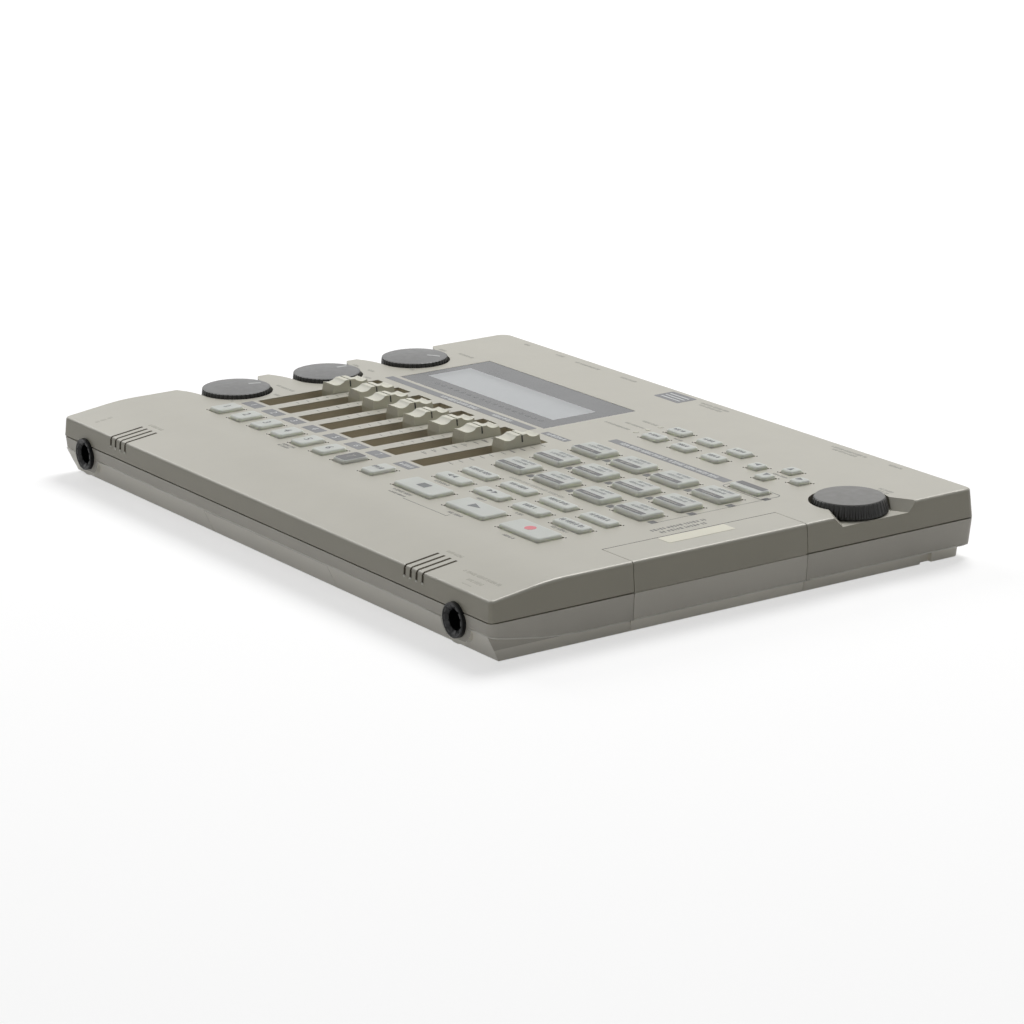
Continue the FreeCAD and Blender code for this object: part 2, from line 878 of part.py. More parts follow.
def top_outer():
    """The outer form: drafted walls, round corners and the sloping front edge."""
    body = new_body("TopOuter")
    plan = rectangle((-half_width, half_width), (-half_depth, half_depth))
    base = sketch(body, "XY", seam_high, plan)
    feature = pad(body, base, size.panel_height - seam_high, -size.upper_draft)
    corners = (
        (1, -1, size.corner_right_front),
        (1, 1, size.corner_right_rear),
        (-1, 1, size.corner_left_rear),
        (-1, -1, size.corner_left_front),
    )
    for right, rear, radius in corners:

        def upright(edge):
            middle = edge.CenterOfMass
            reach = edge.BoundBox.ZLength
            return middle.x * right > half_width.value - 6 and (
                middle.y * rear > half_depth.value - 6 and reach > 5
            )

        feature = fillet(body, feature, radius, upright)
    setback = size.slope_blend * cosine(size.slope_angle)
    drop = size.slope_blend * sine(size.slope_angle)
    bend = size.slope_blend / tangent(size.slope_angle / 2)
    front = -half_depth - beyond
    above = size.panel_height + beyond
    slope = loop(
        (front, size.panel_height - (slope_break - front) * slope_rise),
        (slope_break - setback, size.panel_height - drop),
        (slope_break + size.slope_blend, size.panel_height),
        (slope_break + size.slope_blend, above),
        (front, above),
        arcs=((1, bend, -1),),
    )
    cut = body.newObject("PartDesign::Pocket", "Slope")
    cut.Profile = sketch(body, "YZ", 0, slope)
    cut.Midplane = True
    drive(cut, "Length", size.case_width + beyond)
    low_edge = size.panel_height.value - 4.0

    def rim(edge):
        middle = edge.CenterOfMass
        near_side = abs(middle.x) > half_width.value - 5
        near_end = abs(middle.y) > half_depth.value - 5
        return edge.BoundBox.ZMin > low_edge and (near_side or near_end)

    fillet(body, cut, size.top_edge_round, rim)
    return body


def top_cavity():
    front = -inner_depth / 2
    low = seam_high - beyond
    section = loop(
        (front, low),
        (inner_depth / 2, low),
        (inner_depth / 2, roof_low),
        (slope_break, roof_low),
        (front, roof_under(front)),
    )
    return prism("TopCavity", "YZ", -inner_width / 2, inner_width / 2, section)


def top_islands():
    """Floors under the recesses, fader wells, screw bosses, board ribs and the card wall."""
    parts = []
    lap = size.lap_clearance
    side = half_width - size.wall + lap
    rim = size.slot_wall
    ceiling = roof_low + lap
    knob_low = size.knob_recess_floor - size.roof
    for row in knob_rows:
        across = (-side, knob_column + size.knob_recess_radius + rim)
        along = span(row, (knob_lip_half + rim) * 2)
        parts.append(box("KnobFloor", across, along, (knob_low, ceiling)))
    across = (dial_column - size.dial_recess_radius - rim, side)
    along = span(size.dial_setback, dial_notch_top + rim * 2)
    parts.append(box("DialFloor", across, along, (size.dial_recess_floor - size.roof, ceiling)))
    for column in fader_columns:
        across = span(column, size.slot_width + rim * 2)
        along = span(slot_middle, size.slot_length + rim * 2)
        parts.append(box("FaderWell", across, along, (size.slot_floor - rim, ceiling)))
    for across, along in post_places:
        top = roof_under(along) if along.value < slope_break.value else roof_low
        length = top + size.slot_wall * 0.9 - size.post_joint
        foot = (across, along, size.post_joint)
        parts.append(round_bar("Boss", "Z", foot, length, size.post_radius))
    rib = size.card_wall_thickness
    level = (board_top, ceiling)
    left, right = panel_left, panel_right
    front = -size.panel_board_front
    parts.append(box("FrontRib", (left, right), (front, front + rib), level))
    parts.append(box("RightRib", (right - rib, right), (front, -front), level))
    lens_rear = size.lens_front + size.lens_depth
    parts.append(box("LeftRib", (left, left + lap * 4), (size.lens_front, lens_rear), level))
    level = (seam_high, ceiling)
    inside_tongue = inner_width / 2 - size.tongue_thickness - lap * 2
    for along in (
        (card_cover_cut[0] - rib, card_cover_cut[0]),
        (card_cover_cut[1], card_cover_cut[1] + rib),
    ):
        parts.append(box("CardEnd", (card_wall[0], inside_tongue), along, level))
    parts.append(box("CardWall", card_wall, card_cover_cut, level))
    return parts


def top_cutters():
    tools = [knob_scallop(row) for row in knob_rows]
    above = size.panel_height + beyond
    foot = (dial_column, size.dial_setback, size.dial_recess_floor)
    tools.append(
        round_bar("DialRecess", "Z", foot, above - size.dial_recess_floor, size.dial_recess_radius)
    )
    tools.append(dial_notch())
    centres = [(knob_column, row) for row in knob_rows] + [(dial_column, size.dial_setback)]
    for across, along in centres:
        foot = (across, along, size.knob_recess_floor - beyond)
        tools.append(round_bar("ShaftHole", "Z", foot, beyond * 2, size.shaft_hole))
    for column in fader_columns:
        across = span(column, size.slot_width)
        tools.append(box("FaderSlot", across, slot_span, (size.slot_floor, above)))
        along = span(slot_middle, size.slot_length - size.slot_width)
        level = (size.slot_floor - beyond, size.slot_floor + beyond)
        tools.append(box("FaderSlit", span(column, size.slit_width), along, level))
    tools += key_openings()
    lens_across = (lens_left, lens_left + size.lens_width)
    lens_along = (size.lens_front, size.lens_front + size.lens_depth)
    level = (size.panel_height - size.lens_recess, above)
    tools.append(box("LensRecess", lens_across, lens_along, level))
    across = (screen_left, screen_left + size.screen_width)
    along = (size.screen_front, size.screen_front + size.screen_depth)
    tools.append(box("ScreenOpening", across, along, (roof_low - beyond, above)))
    for row in light_rows:
        foot = (size.light_column, row, roof_low - beyond)
        clear = size.light_radius + size.light_clearance
        tools.append(round_bar("LightHole", "Z", foot, beyond * 2, clear))
    along = (-half_depth - beyond, -half_depth + size.mic_slot_reach)
    for middle in mic_columns:
        for i in range(4):
            column = middle + size.mic_slot_pitch * (i - 1.5)
            across = span(column, size.mic_slot_width)
            tools.append(box("MicSlot", across, along, (size.mic_slot_low, above)))
    for across, along in post_places:
        foot = (across, along, size.post_joint - beyond)
        reach = size.screw_length - (size.post_joint - size.foot_drop) + beyond
        clear = size.screw_radius + size.screw_clearance / 2
        tools.append(round_bar("ScrewHole", "Z", foot, reach, clear))
    across = (card_cover_edge - size.card_cover_gap, half_width + beyond)
    tools.append(box("CardCoverCut", across, card_cover_cut, (seam_low, above)))
    return tools


def make_top_shell():
    blank = removed("TopBlank", top_outer(), [top_cavity()])
    whole = joined("TopWhole", [blank] + top_islands())
    publish("top_shell", removed("TopShell", whole, top_cutters() + openings))


# Bottom shell


def drafted_block(name, low, high, top_half, top_front, top_rear):
    """A block that narrows downwards by the lower draft."""
    inset = (as_term(high) - low) * tangent(size.lower_draft)
    across = (-top_half + inset, top_half - inset)
    along = (top_front + inset, top_rear - inset)
    return prism(name, "XY", low, high, rectangle(across, along), taper=size.lower_draft)


def bottom_outer():
    corner = size.corner_right_rear
    band = drafted_block(
        "Band", size.band_height, seam_low, half_width, -half_depth, half_depth
    )
    plinth = drafted_block(
        "Plinth", size.foot_drop, size.band_height, plinth_top_half, -half_depth, plinth_rear
    )
    for body in (band, plinth):

        def upright(edge):
            middle = edge.CenterOfMass
            flat = edge.BoundBox.ZLength < 3
            return not flat and abs(middle.x) > half_width.value - 6

        fillet(body, body.Group[-1], corner, upright)
    return joined("BottomOuter", [band, plinth])


def bottom_relief():
    """The undercut below the front edge and the sides' rise towards it."""
    front = -half_depth - beyond
    below = size.foot_drop - beyond
    face = loop(
        (undercut(size.undercut_height), size.undercut_height),
        (front, size.undercut_height),
        (front, below),
        (undercut(below), below),
    )
    tools = [prism("Undercut", "YZ", -half_width - beyond, half_width + beyond, face)]
    start = -half_depth + size.band_rise_start
    reach = start - front
    rise = loop(
        (start, size.band_height),
        (front, size.band_height + arc_height(size.band_rise_radius, reach)),
        (front, size.band_height - beyond),
        (start, size.band_height - beyond),
        arcs=((0, size.band_rise_radius, -1),),
    )
    outside = half_width + beyond
    tools.append(prism("RiseRight", "YZ", plinth_top_half, outside, rise))
    tools.append(prism("RiseLeft", "YZ", -outside, -plinth_top_half, rise))
    return tools


def jack_boss(place):
    """The rounded swelling around a front jack, ended at the seam."""
    foot = (place, -half_depth + size.lap_clearance, floor_top + size.jack_boss)
    length = size.front_wall - size.lap_clearance
    bar = round_bar("BossBar", "Y", foot, length, size.jack_boss)
    across = span(place, size.jack_boss * 2 + beyond)
    along = (-half_depth - beyond, -half_depth + beyond * 3)
    limit = box("BossLimit", across, along, (size.foot_drop, seam_low))
    return shared("JackBoss", bar, limit)


def board_supports():
    tall = (floor_top - size.lap_clearance, size.fader_board_low)
    middle = (floor_top - size.lap_clearance, size.knob_board_low)
    low = (floor_top - size.lap_clearance, size.main_board_low)
    half = size.support_size / 2
    fader_left = fader_columns[0] - size.fader_board_side + half
    fader_right = size.main_board_left - half - size.lap_clearance
    board_front = -size.fader_board_front + half
    board_rear = size.fader_board_rear - half
    knob_reach = size.knob_board_depth / 2 - half
    main_left = size.main_board_left + half
    right = main_right - half
    support_rear = main_rear - half
    wing = main_wing + half
    places = (
        (fader_left, board_front, tall),
        (fader_left, board_rear, tall),
        (fader_right, board_front, tall),
        (fader_right, board_rear, tall),
        (knob_column, size.knob_middle - knob_reach, middle),
        (knob_column, size.knob_middle + knob_reach, middle),
        (main_left, -size.main_board_front + half, low),
        (right, -size.main_board_front + half, low),
        (main_left, support_rear, low),
        (right, support_rear, low),
        (wing, size.main_board_wing_front + half, low),
        (wing, support_rear, low),
    )
    width = size.support_size
    return [box("Support", span(x, width), span(y, width), z) for x, y, z in places]


def bottom_fittings():
    """What stands on the floor: the tongue, posts, supports, battery bay and card walls."""
    outer = inner_width / 2 - size.lap_clearance
    outer_end = inner_depth / 2 - size.lap_clearance
    level = (seam_low - size.tongue_reach, seam_low + size.tongue_reach)
    rim = box("TongueRim", (-outer, outer), (-outer_end, outer_end), level)
    inner = outer - size.tongue_thickness
    inner_end = outer_end - size.tongue_thickness
    hollow_level = (level[0] - beyond, level[1] + beyond)
    hollow = box("TongueHollow", (-inner, inner), (-inner_end, inner_end), hollow_level)
    parts = [removed("Tongue", rim, [hollow])]
    for across, along in post_places:
        foot = (across, along, size.foot_drop + size.floor_thickness / 2)
        length = size.post_joint - size.foot_drop - size.floor_thickness / 2
        parts.append(round_bar("Post", "Z", foot, length, size.post_radius))
    parts += board_supports()
    wall = size.bay_wall
    across = (bay_across[0] - wall, bay_across[1] + wall)
    along = (bay_along[0] - wall, bay_along[1] + wall)
    low = cover_top + size.battery_cover_gap
    parts.append(box("BayBox", across, along, (low, bay_top + size.bay_roof)))
    reach = size.battery_cover_gap + size.bay_shelf
    across = (battery_cover_span[0] - reach, battery_cover_span[1] + reach)
    along = (bay_along[0] - wall, -size.battery_cover_rear + reach)
    parts.append(box("BayShelf", across, along, (low, low + size.bay_shelf)))
    rib = size.card_wall_thickness
    level = (floor_top - size.lap_clearance, seam_low)
    side = inner_width / 2
    for along in (
        (card_cover_cut[0] - rib, card_cover_cut[0]),
        (card_cover_cut[1], card_cover_cut[1] + rib),
    ):
        parts.append(box("CardEnd", (card_wall[0], side), along, level))
    parts.append(box("CardWall", card_wall, card_cover_cut, level))
    return parts


def bottom_cavities():
    outer = inner_width / 2 - size.lap_clearance
    high = (size.band_height + size.ledge_thickness, seam_low + beyond)
    front = -half_depth + size.front_wall
    rear = inner_depth / 2 - size.lap_clearance
    upper = box("UpperCavity", (-outer, outer), (front, rear), high)
    inner = plinth_low_half - size.wall
    along = (undercut(size.foot_drop) + size.wall, plinth_rear - size.wall)
    lower = box("LowerCavity", (-inner, inner), along, (floor_top, high[0] + size.wall))
    return [upper, lower]


def battery_cover_outline(gap):
    """The cover's section; a gap widens it into the opening that it fits."""
    rear = -size.battery_cover_rear + gap
    high = size.undercut_height - size.battery_cover_gap + gap
    inner_low = cover_top + gap
    wall = size.battery_cover_thickness + gap
    low = size.foot_drop
    return loop(
        (undercut(low), low),
        (rear, low),
        (rear, inner_low),
        (undercut(inner_low) + wall, inner_low),
        (undercut(high) + wall, high),
        (undercut(high), high),
    )


def bottom_cutters():
    below = size.foot_drop - beyond
    gap = size.battery_cover_gap
    across = (battery_cover_span[0] - gap, battery_cover_span[1] + gap)
    tools = [prism("BatteryCoverCut", "YZ", across[0], across[1], battery_cover_outline(gap))]
    tools.append(box("Bay", bay_across, bay_along, (below, bay_top)))
    swing = hinge_column - size.card_hinge_swing
    level = (below, seam_low + beyond)
    tools.append(box("CardCoverCut", (swing, half_width + beyond), card_cover_cut, level))
    pin = size.card_hinge_radius + size.card_hinge_clearance
    reach = size.card_hinge_pin + size.card_cover_gap
    for start in (card_cover_cut[0] - reach, card_cover_cut[1] - size.card_cover_gap):
        foot = (hinge_column, start, size.card_hinge_height)
        tools.append(round_bar("HingeHole", "Y", foot, reach + size.card_cover_gap, pin))
    mouth = (card_wall[0] - beyond, card_wall[1] + beyond)
    along = span(-size.card_socket_middle, size.card_slot_width)
    level = (slot_low, slot_low + size.card_slot_height)
    tools.append(box("CardMouth", mouth, along, level))
    for across, along in post_places:
        foot = (across, along, below)
        clear = size.screw_radius + size.screw_clearance
        tools.append(round_bar("ScrewHole", "Z", foot, size.screw_length + beyond, clear))
        deep = size.screw_head_height + size.lap_clearance + beyond
        head = size.screw_head_radius + size.screw_clearance
        tools.append(round_bar("HeadHole", "Z", foot, deep, head))
    for across in (-foot_column, foot_column):
        for along in (-size.foot_ahead, size.foot_ahead):
            seat = size.foot_seat + beyond
            clear = size.foot_radius + size.screw_clearance
            tools.append(round_bar("FootSeat", "Z", (across, along, below), seat, clear))
    along = (size.plinth_notch, size.plinth_notch + size.plinth_notch_width)
    across = (plinth_low_half - size.plinth_notch_depth, half_width + beyond)
    tools.append(box("PlinthNotch", across, along, (below, size.band_height)))
    return tools


def make_bottom_shell():
    outer = removed("BottomShape", bottom_outer(), bottom_relief())
    bosses = [jack_boss(place) for place, side in jack_places]
    with_bosses = joined("BottomBosses", [outer] + bosses)
    hollow = removed("BottomHollow", with_bosses, bottom_cavities())
    whole = joined("BottomWhole", [hollow] + bottom_fittings())
    publish("bottom_shell", removed("BottomShell", whole, bottom_cutters() + openings))


# Display, boards and what they carry


def make_display():
    gap = size.key_gap / 2
    across = (lens_left + gap, lens_left + size.lens_width - gap)
    along = (size.lens_front + gap, size.lens_front + size.lens_depth - gap)
    low = size.panel_height - size.lens_recess
    publish("display_window", box("Lens", across, along, (low, low + size.lens_thickness)))
    side = size.module_margin_side
    ahead = size.module_margin_ahead
    across = (screen_left - side, screen_left + size.screen_width + side)
    along = (size.screen_front - ahead, size.screen_front + size.screen_depth + ahead)
    module = box("Module", across, along, (board_top, board_top + size.module_thickness))
    publish("display_module", module)


def make_panel_board():
    left, right = panel_left, panel_right
    front, rear = -size.panel_board_front, panel_rear
    plate = box("Plate", (left, right), (front, rear), (size.panel_board_low, board_top))
    clear = size.slot_wall + size.board_relief
    across = (left - clear, fader_columns[-1] + size.slot_width / 2 + clear)
    along = (slot_span[0] - clear, slot_span[1] + clear)
    level = (size.panel_board_low - clear, board_top + clear)
    publish("panel_board", removed("PanelBoard", plate, [box("FaderRoom", across, along, level)]))
    edge = size.mat_margin
    level = (board_top, mat_top)
    inside = size.light_column - size.light_base
    right_sheet = box("MatRight", (inside, right - edge), (front + edge, rear - edge), level)
    key_rear = -size.track_key_middle + size.track_key_depth / 2
    along = (front + edge, key_rear + edge)
    left_sheet = box("MatLeft", (left + edge, inside + edge), along, level)
    publish("key_mat", joined("KeyMat", [right_sheet, left_sheet]))


def make_lights():
    half = size.light_base / 2
    along = (light_rows[0] - half, light_rows[2] + half)
    across = (size.light_column - half, size.light_column + half)
    parts = [box("Guide", across, along, (mat_top, plate_top))]
    for row in light_rows:
        length = size.panel_height + size.light_proud - mat_top
        foot = (size.light_column, row, mat_top)
        parts.append(round_bar("Light", "Z", foot, length, size.light_radius))
    publish("indicator_lights", joined("Lights", parts))


def make_fader_parts():
    across = (
        fader_columns[0] - size.fader_board_side,
        size.main_board_left - size.lap_clearance,
    )
    along = (-size.fader_board_front, size.fader_board_rear)
    publish("fader_board", box("FaderBoard", across, along, (size.fader_board_low, fader_board_top)))
    bodies = []
    for column in fader_columns:
        across = span(column, size.slide_body_width)
        along = span(slot_middle, size.slide_body_length)
        top = fader_board_top + size.slide_body_height
        case = box("SlideCase", across, along, (fader_board_top, top))
        across = span(column, size.stem_width + size.slide_slot_gap * 2)
        along = span(slot_middle, size.slide_slot_length)
        level = (fader_board_top + size.slide_slot_floor, top + size.slide_slot_floor)
        bodies.append(removed("Slide", case, [box("SlideSlot", across, along, level)]))
    publish("fader_potentiometers", gathered("FaderPotentiometers", bodies))


def fader_cap():
    """A cap with a raised middle and dished ends, on the stem that works the slide."""
    half = size.cap_length / 2
    low = size.panel_height - size.cap_skirt
    end = size.panel_height + size.cap_end_height
    ridge = size.panel_height + size.cap_ridge_height
    lean = size.cap_end_lean
    side = loop(
        (-half, low),
        (half, low),
        (half, size.panel_height),
        (half - lean, end),
        (size.cap_ridge_width / 2, ridge),
        (-size.cap_ridge_width / 2, ridge),
        (-half + lean, end),
        (-half, size.panel_height),
        arcs=((3, size.cap_dip_radius, -1), (5, size.cap_dip_radius, -1)),
    )
    wide = size.cap_width / 2
    narrow = size.cap_top_width / 2
    front = loop(
        (-wide, low),
        (wide, low),
        (wide, size.panel_height),
        (narrow, ridge),
        (-narrow, ridge),
        (-wide, size.panel_height),
    )
    length = prism("CapSide", "YZ", -size.cap_width, size.cap_width, side)
    width = prism("CapFront", "XZ", -size.cap_length, size.cap_length, front)
    cap = shared("CapForm", length, width)
    groove = box(
        "CapGroove",
        span(0, size.cap_width * 2),
        span(0, size.cap_groove_width),
        (ridge - size.cap_groove_depth, ridge + size.cap_groove_depth),
    )
    cut = removed("CapCut", cap, [groove])
    level = (low - size.stem_reach, low + size.cap_groove_depth)
    stem = box("Stem", span(0, size.stem_width), span(0, size.stem_length), level)
    return joined("Cap", [cut, stem])


def make_fader_caps():
    form = fader_cap()
    for number, (column, rest) in enumerate(zip(fader_columns, CAP_RESTS), start=1):
        placed(f"fader_cap_{number}", form, column, slot_middle + rest)


def make_knob_parts():
    top = size.knob_board_low + size.board_thickness
    across = span(knob_column, size.knob_board_width)
    along = span(size.knob_middle, size.knob_board_depth)
    parts = [box("KnobBoard", across, along, (size.knob_board_low, top))]
    for row in knob_rows:
        room = (top, pot_room)
        across = span(knob_column, size.pot_body)
        parts.append(box("Pot", across, span(row, size.pot_body), room))
        length = size.knob_top - size.shaft_head - top
        foot = (knob_column, row, top)
        parts.append(round_bar("Shaft", "Z", foot, length, size.shaft_radius))
    publish("knob_potentiometers", joined("KnobPots", parts))
    across = span(dial_column, size.pot_body)
    case = box("Encoder", across, span(size.dial_setback, size.pot_body), (main_top, pot_room))
    foot = (dial_column, size.dial_setback, main_top)
    length = size.dial_top - size.shaft_head - main_top
    shaft = round_bar("EncoderShaft", "Z", foot, length, size.shaft_radius)
    publish("dial_encoder", joined("DialEncoder", [case, shaft]))


def ribbed_cap(name, outline, bore_top, ribs):
    """A turned cap with a shaft bore and flutes that follow its leaning side."""
    body = new_body(name)
    turned = body.newObject("PartDesign::Revolution", "Turned")
    profile = sketch(body, "XZ", 0, outline)
    turned.Profile = profile
    turned.ReferenceAxis = (profile, ["V_Axis"])
    low, high, foot_radius, top_radius, count, radius = ribs
    bore = body.newObject("PartDesign::Pocket", "Bore")
    bore.Profile = sketch(body, "XY", low, circle(0, 0, size.shaft_radius + size.shaft_clearance))
    bore.Reversed = True
    drive(bore, "Length", bore_top - low)
    flute = body.newObject("PartDesign::SubtractiveLoft", "Flute")
    edge = radius / 2
    base = sketch(body, "XY", low, circle(foot_radius + edge, 0, radius))
    flute.Profile = base
    flute.Sections = [sketch(body, "XY", high, circle(top_radius + edge, 0, radius))]
    pattern = body.newObject("PartDesign::PolarPattern", "Flutes")
    pattern.Originals = [flute]
    pattern.Axis = (base, ["N_Axis"])
    pattern.Angle = 360
    drive(pattern, "Occurrences", count)
    body.Tip = pattern
    return body


def make_knobs():
    low = size.knob_recess_floor + size.running_gap
    foot, top = size.knob_foot_radius, size.knob_top_radius
    rim = size.knob_top - size.knob_dome
    reach = top - size.knob_rim
    dome = (reach * reach + size.knob_dome * size.knob_dome) / (size.knob_dome * 2)
    outline = loop(
        (0, low),
        (foot, low),
        (foot, size.panel_height - size.running_gap),
        (top, rim - size.running_gap / 2),
        (reach, rim),
        (0, size.knob_top),
        arcs=((4, dome, 1),),
    )
    ribs = (low, size.knob_top, foot, top, size.knob_ribs, size.knob_rib_radius)
    bore_top = size.knob_top - size.shaft_head + size.running_gap
    form = ribbed_cap("KnobForm", outline, bore_top, ribs)
    for number, row in enumerate(knob_rows, start=1):
        placed(f"knob_{number}", form, knob_column, row)


def make_dial():
    low = size.dial_recess_floor + size.running_gap
    foot, top = size.dial_foot_radius, size.dial_top_radius
    rim = size.dial_top - size.dial_dome
    reach = top - size.dial_rim
    dome = (reach * reach + size.dial_dome * size.dial_dome) / (size.dial_dome * 2)
    outline = loop(
        (0, low),
        (foot, low),
        (foot, low + size.running_gap * 2),
        (top, rim - size.running_gap),
        (reach, rim),
        (0, size.dial_top),
        arcs=((4, dome, 1),),
    )
    ribs = (low, size.dial_top, foot, top, size.dial_ribs, size.dial_rib_radius)
    bore_top = size.dial_top - size.shaft_head + size.running_gap
    form = ribbed_cap("DialForm", outline, bore_top, ribs)
    placed("dial", form, dial_column, size.dial_setback)


def make_main_board():
    level = (size.main_board_low, main_top)
    along = (-size.main_board_front, main_rear)
    parts = [box("Board", (size.main_board_left, main_right), along, level)]
    along = (size.main_board_wing_front, main_rear)
    across = (main_wing, size.main_board_left)
    parts.append(box("Wing", across, along, level))
    across = (main_right, main_right + size.dial_wing_width)
    along = span(size.dial_setback, size.dial_wing_width)
    parts.append(box("DialWing", across, along, level))
    chip = size.chip_size
    chip_level = (main_top, main_top + size.chip_height)
    for i in range(3):
        across = (size.main_board_left + chip * (i * 1.5 + 0.5), chip)
        along = span(size.main_board_wing_front + chip, chip)
        parts.append(box("Chip", (across[0], across[0] + chip), along, chip_level))
    publish("main_board", joined("MainBoard", parts))
    level = (main_top, size.panel_board_low)
    rear = panel_rear - size.mat_margin
    along = (rear - size.ribbon_thickness, rear)
    across = span(post_middle, size.ribbon_width)
    long_ribbon = box("LongRibbon", across, along, level)
    edge = size.main_board_left
    across = (edge, edge + size.ribbon_thickness)
    along = span(0, size.ribbon_width)
    level = (main_top, size.fader_board_low + size.board_thickness)
    short_ribbon = box("ShortRibbon", across, along, level)
    publish("board_ribbons", gathered("Ribbons", [long_ribbon, short_ribbon]))


# Jacks and sockets; the front ones are turned half round the upright axis


def barrel(name, place, height, radius, bore, depth, proud, front):
    """A barrel through the wall and its bore, as a pair."""
    face = half_depth + proud
    seat = front_face if front else socket_face
    length = face - seat + size.jack_clearance
    start = -face if front else face - length
    ring = round_bar(name, "Y", (place, start, height), length, radius)
    mouth = -face - 1.0 if front else face - depth
    hole = round_bar(f"{name}Bore", "Y", (place, mouth, height), depth + 1.0, bore)
    return ring, hole


def jack_chamfer_cut(place, height, front):
    """The cone at the bore's mouth."""
    face = half_depth + size.jack_proud
    wide = size.jack_bore + size.jack_chamfer
    if front:
        foot = (place, -face, height)
        return round_bar("Mouth", "Y", foot, size.jack_chamfer, wide, size.jack_bore)
    foot = (place, face - size.jack_chamfer, height)
    return round_bar("Mouth", "Y", foot, size.jack_chamfer, size.jack_bore, wide)


def quarter_inch_jack(place, height, front):
    depth = size.jack_body_depth
    along = (-front_face, -front_face + depth) if front else (socket_face - depth, socket_face)
    across = span(place, size.jack_body_width)
    case = box("JackCase", across, along, span(height, size.jack_body_height))
    ring, hole = barrel(
        "Jack",
        place,
        height,
        size.jack_barrel,
        size.jack_bore,
        size.jack_bore_depth,
        size.jack_proud,
        front,
    )
    whole = joined("JackWhole", [case, ring])
    return removed("JackCut", whole, [hole, jack_chamfer_cut(place, height, front)])


def make_jacks():
    front = [quarter_inch_jack(place, size.jack_height, True) for place, side in jack_places]
    publish("front_jacks", gathered("FrontJacks", front))
    rear = [quarter_inch_jack(place, rear_jack_height, False) for place in rear_jacks]
    publish("rear_jacks", gathered("RearJacks", rear))


def round_socket(place, radius, bore):
    """A socket in a case of its own on the main board."""
    depth = size.socket_body_depth
    across = span(place, line_case_width)
    level = (main_top, main_top + size.line_body_height)
    case = box("LineCase", across, (socket_face - depth, socket_face), level)
    ring, hole = barrel("Line", place, line_height, radius, bore, depth, 0, False)
    return removed("LineCut", joined("LineWhole", [case, ring]), [hole])


def make_sockets():
    depth = size.socket_body_depth
    sockets = [round_socket(phone_column, size.phone_barrel, size.phone_bore)]
    sockets += [round_socket(place, size.line_barrel, size.line_bore) for place in line_places]
    publish("line_out_sockets", gathered("LineSockets", sockets))

    face = half_depth
    case = box("UsbCase", usb_across, (socket_face - depth, face), usb_along)
    across = span(size.usb_place, size.usb_mouth_width)
    level = span(main_top + size.usb_height / 2, size.usb_mouth_height)
    mouth = box("UsbMouth", across, (face - size.usb_mouth_depth, face + beyond), level)
    publish("usb_socket", removed("Usb", case, [mouth]))

    across = span(inlet_column, size.inlet_barrel * 2)
    along = (socket_face - depth, socket_face)
    level = (main_top, main_top + size.inlet_barrel * 2)
    case = box("InletCase", across, along, level)
    ring, hole = barrel(
        "Inlet",
        inlet_column,
        inlet_height,
        size.inlet_barrel,
        size.inlet_bore,
        size.inlet_depth,
        0,
        False,
    )
    cut = removed("InletCut", joined("InletWhole", [case, ring]), [hole])
    foot = (inlet_column, socket_face - depth / 2, inlet_height)
    pin = round_bar("InletPin", "Y", foot, depth / 2 + size.wall, size.inlet_pin)
    publish("dc_inlet", joined("Inlet", [cut, pin]))


def make_power_switch():
    depth = size.socket_body_depth
    across = span(switch_column, size.switch_window * 2)
    level = (main_top, main_top + size.socket_body_height)
    case = box("SwitchCase", across, (socket_face - depth, socket_face), level)
    face = half_depth + size.slider_proud
    back = face - size.slider_depth
    gap = size.slide_slot_gap
    across = span(switch_column, size.slider_width + size.switch_travel + gap * 2)
    level = span(switch_height, size.slider_height + gap * 2)
    track = box("SwitchTrack", across, (back - gap, socket_face + beyond), level)
    publish("power_switch_body", removed("Switch", case, [track]))
    rest = switch_column - size.switch_travel / 2
    across = span(rest, size.slider_width)
    slider = box("Slider", across, (back, face), span(switch_height, size.slider_height))
    publish("power_slider", slider)


def make_microphones():
    row = -half_depth + size.mic_setback
    high = roof_under(row - size.mic_radius) - size.jack_clearance
    parts = []
    for column in mic_columns:
        foot = (column, row, high - size.mic_length)
        parts.append(round_bar("Capsule", "Z", foot, size.mic_length, size.mic_radius))
    publish("microphones", gathered("Microphones", parts))


# Card cover and socket


def make_card_cover():
    """The cover that wraps the right edge, with pins at its foot to hinge on."""
    upper_inset = (size.panel_height - seam_high) * tangent(size.upper_draft)
    inner = inner_width / 2
    step = size.band_height + size.wall
    toe = hinge_column - size.card_hinge_radius - size.card_hinge_clearance * 5
    outline = loop(
        (card_cover_edge, roof_low),
        (inner, roof_low),
        (inner, step),
        (toe, step),
        (toe, size.foot_drop),
        (plinth_low_half, size.foot_drop),
        (plinth_top_half, size.band_height),
        (half_width - lower_inset, size.band_height),
        (half_width, seam_low),
        (half_width, seam_high),
        (half_width - upper_inset, size.panel_height),
        (card_cover_edge, size.panel_height),
    )
    body = prism("CoverForm", "XZ", card_cover_span[0], card_cover_span[1], outline)

    def crest(edge):
        middle = edge.CenterOfMass
        return middle.z > size.panel_height.value - 0.1 and middle.x > inner.value

    fillet(body, body.Group[-1], size.top_edge_round, crest)
    across = (half_width - size.card_cover_groove, half_width + beyond)
    groove = box("CoverGroove", across, card_cover_span, (seam_low, seam_high))
    plate = removed("CoverPlate", body, [groove])
    pins = []
    for start in (card_cover_span[0] - size.card_hinge_pin, card_cover_span[1] - size.wall):
        foot = (hinge_column, start, size.card_hinge_height)
        length = size.card_hinge_pin + size.wall
        pins.append(round_bar("Pin", "Y", foot, length, size.card_hinge_radius))
    publish("card_cover", joined("CardCover", [plate] + pins))


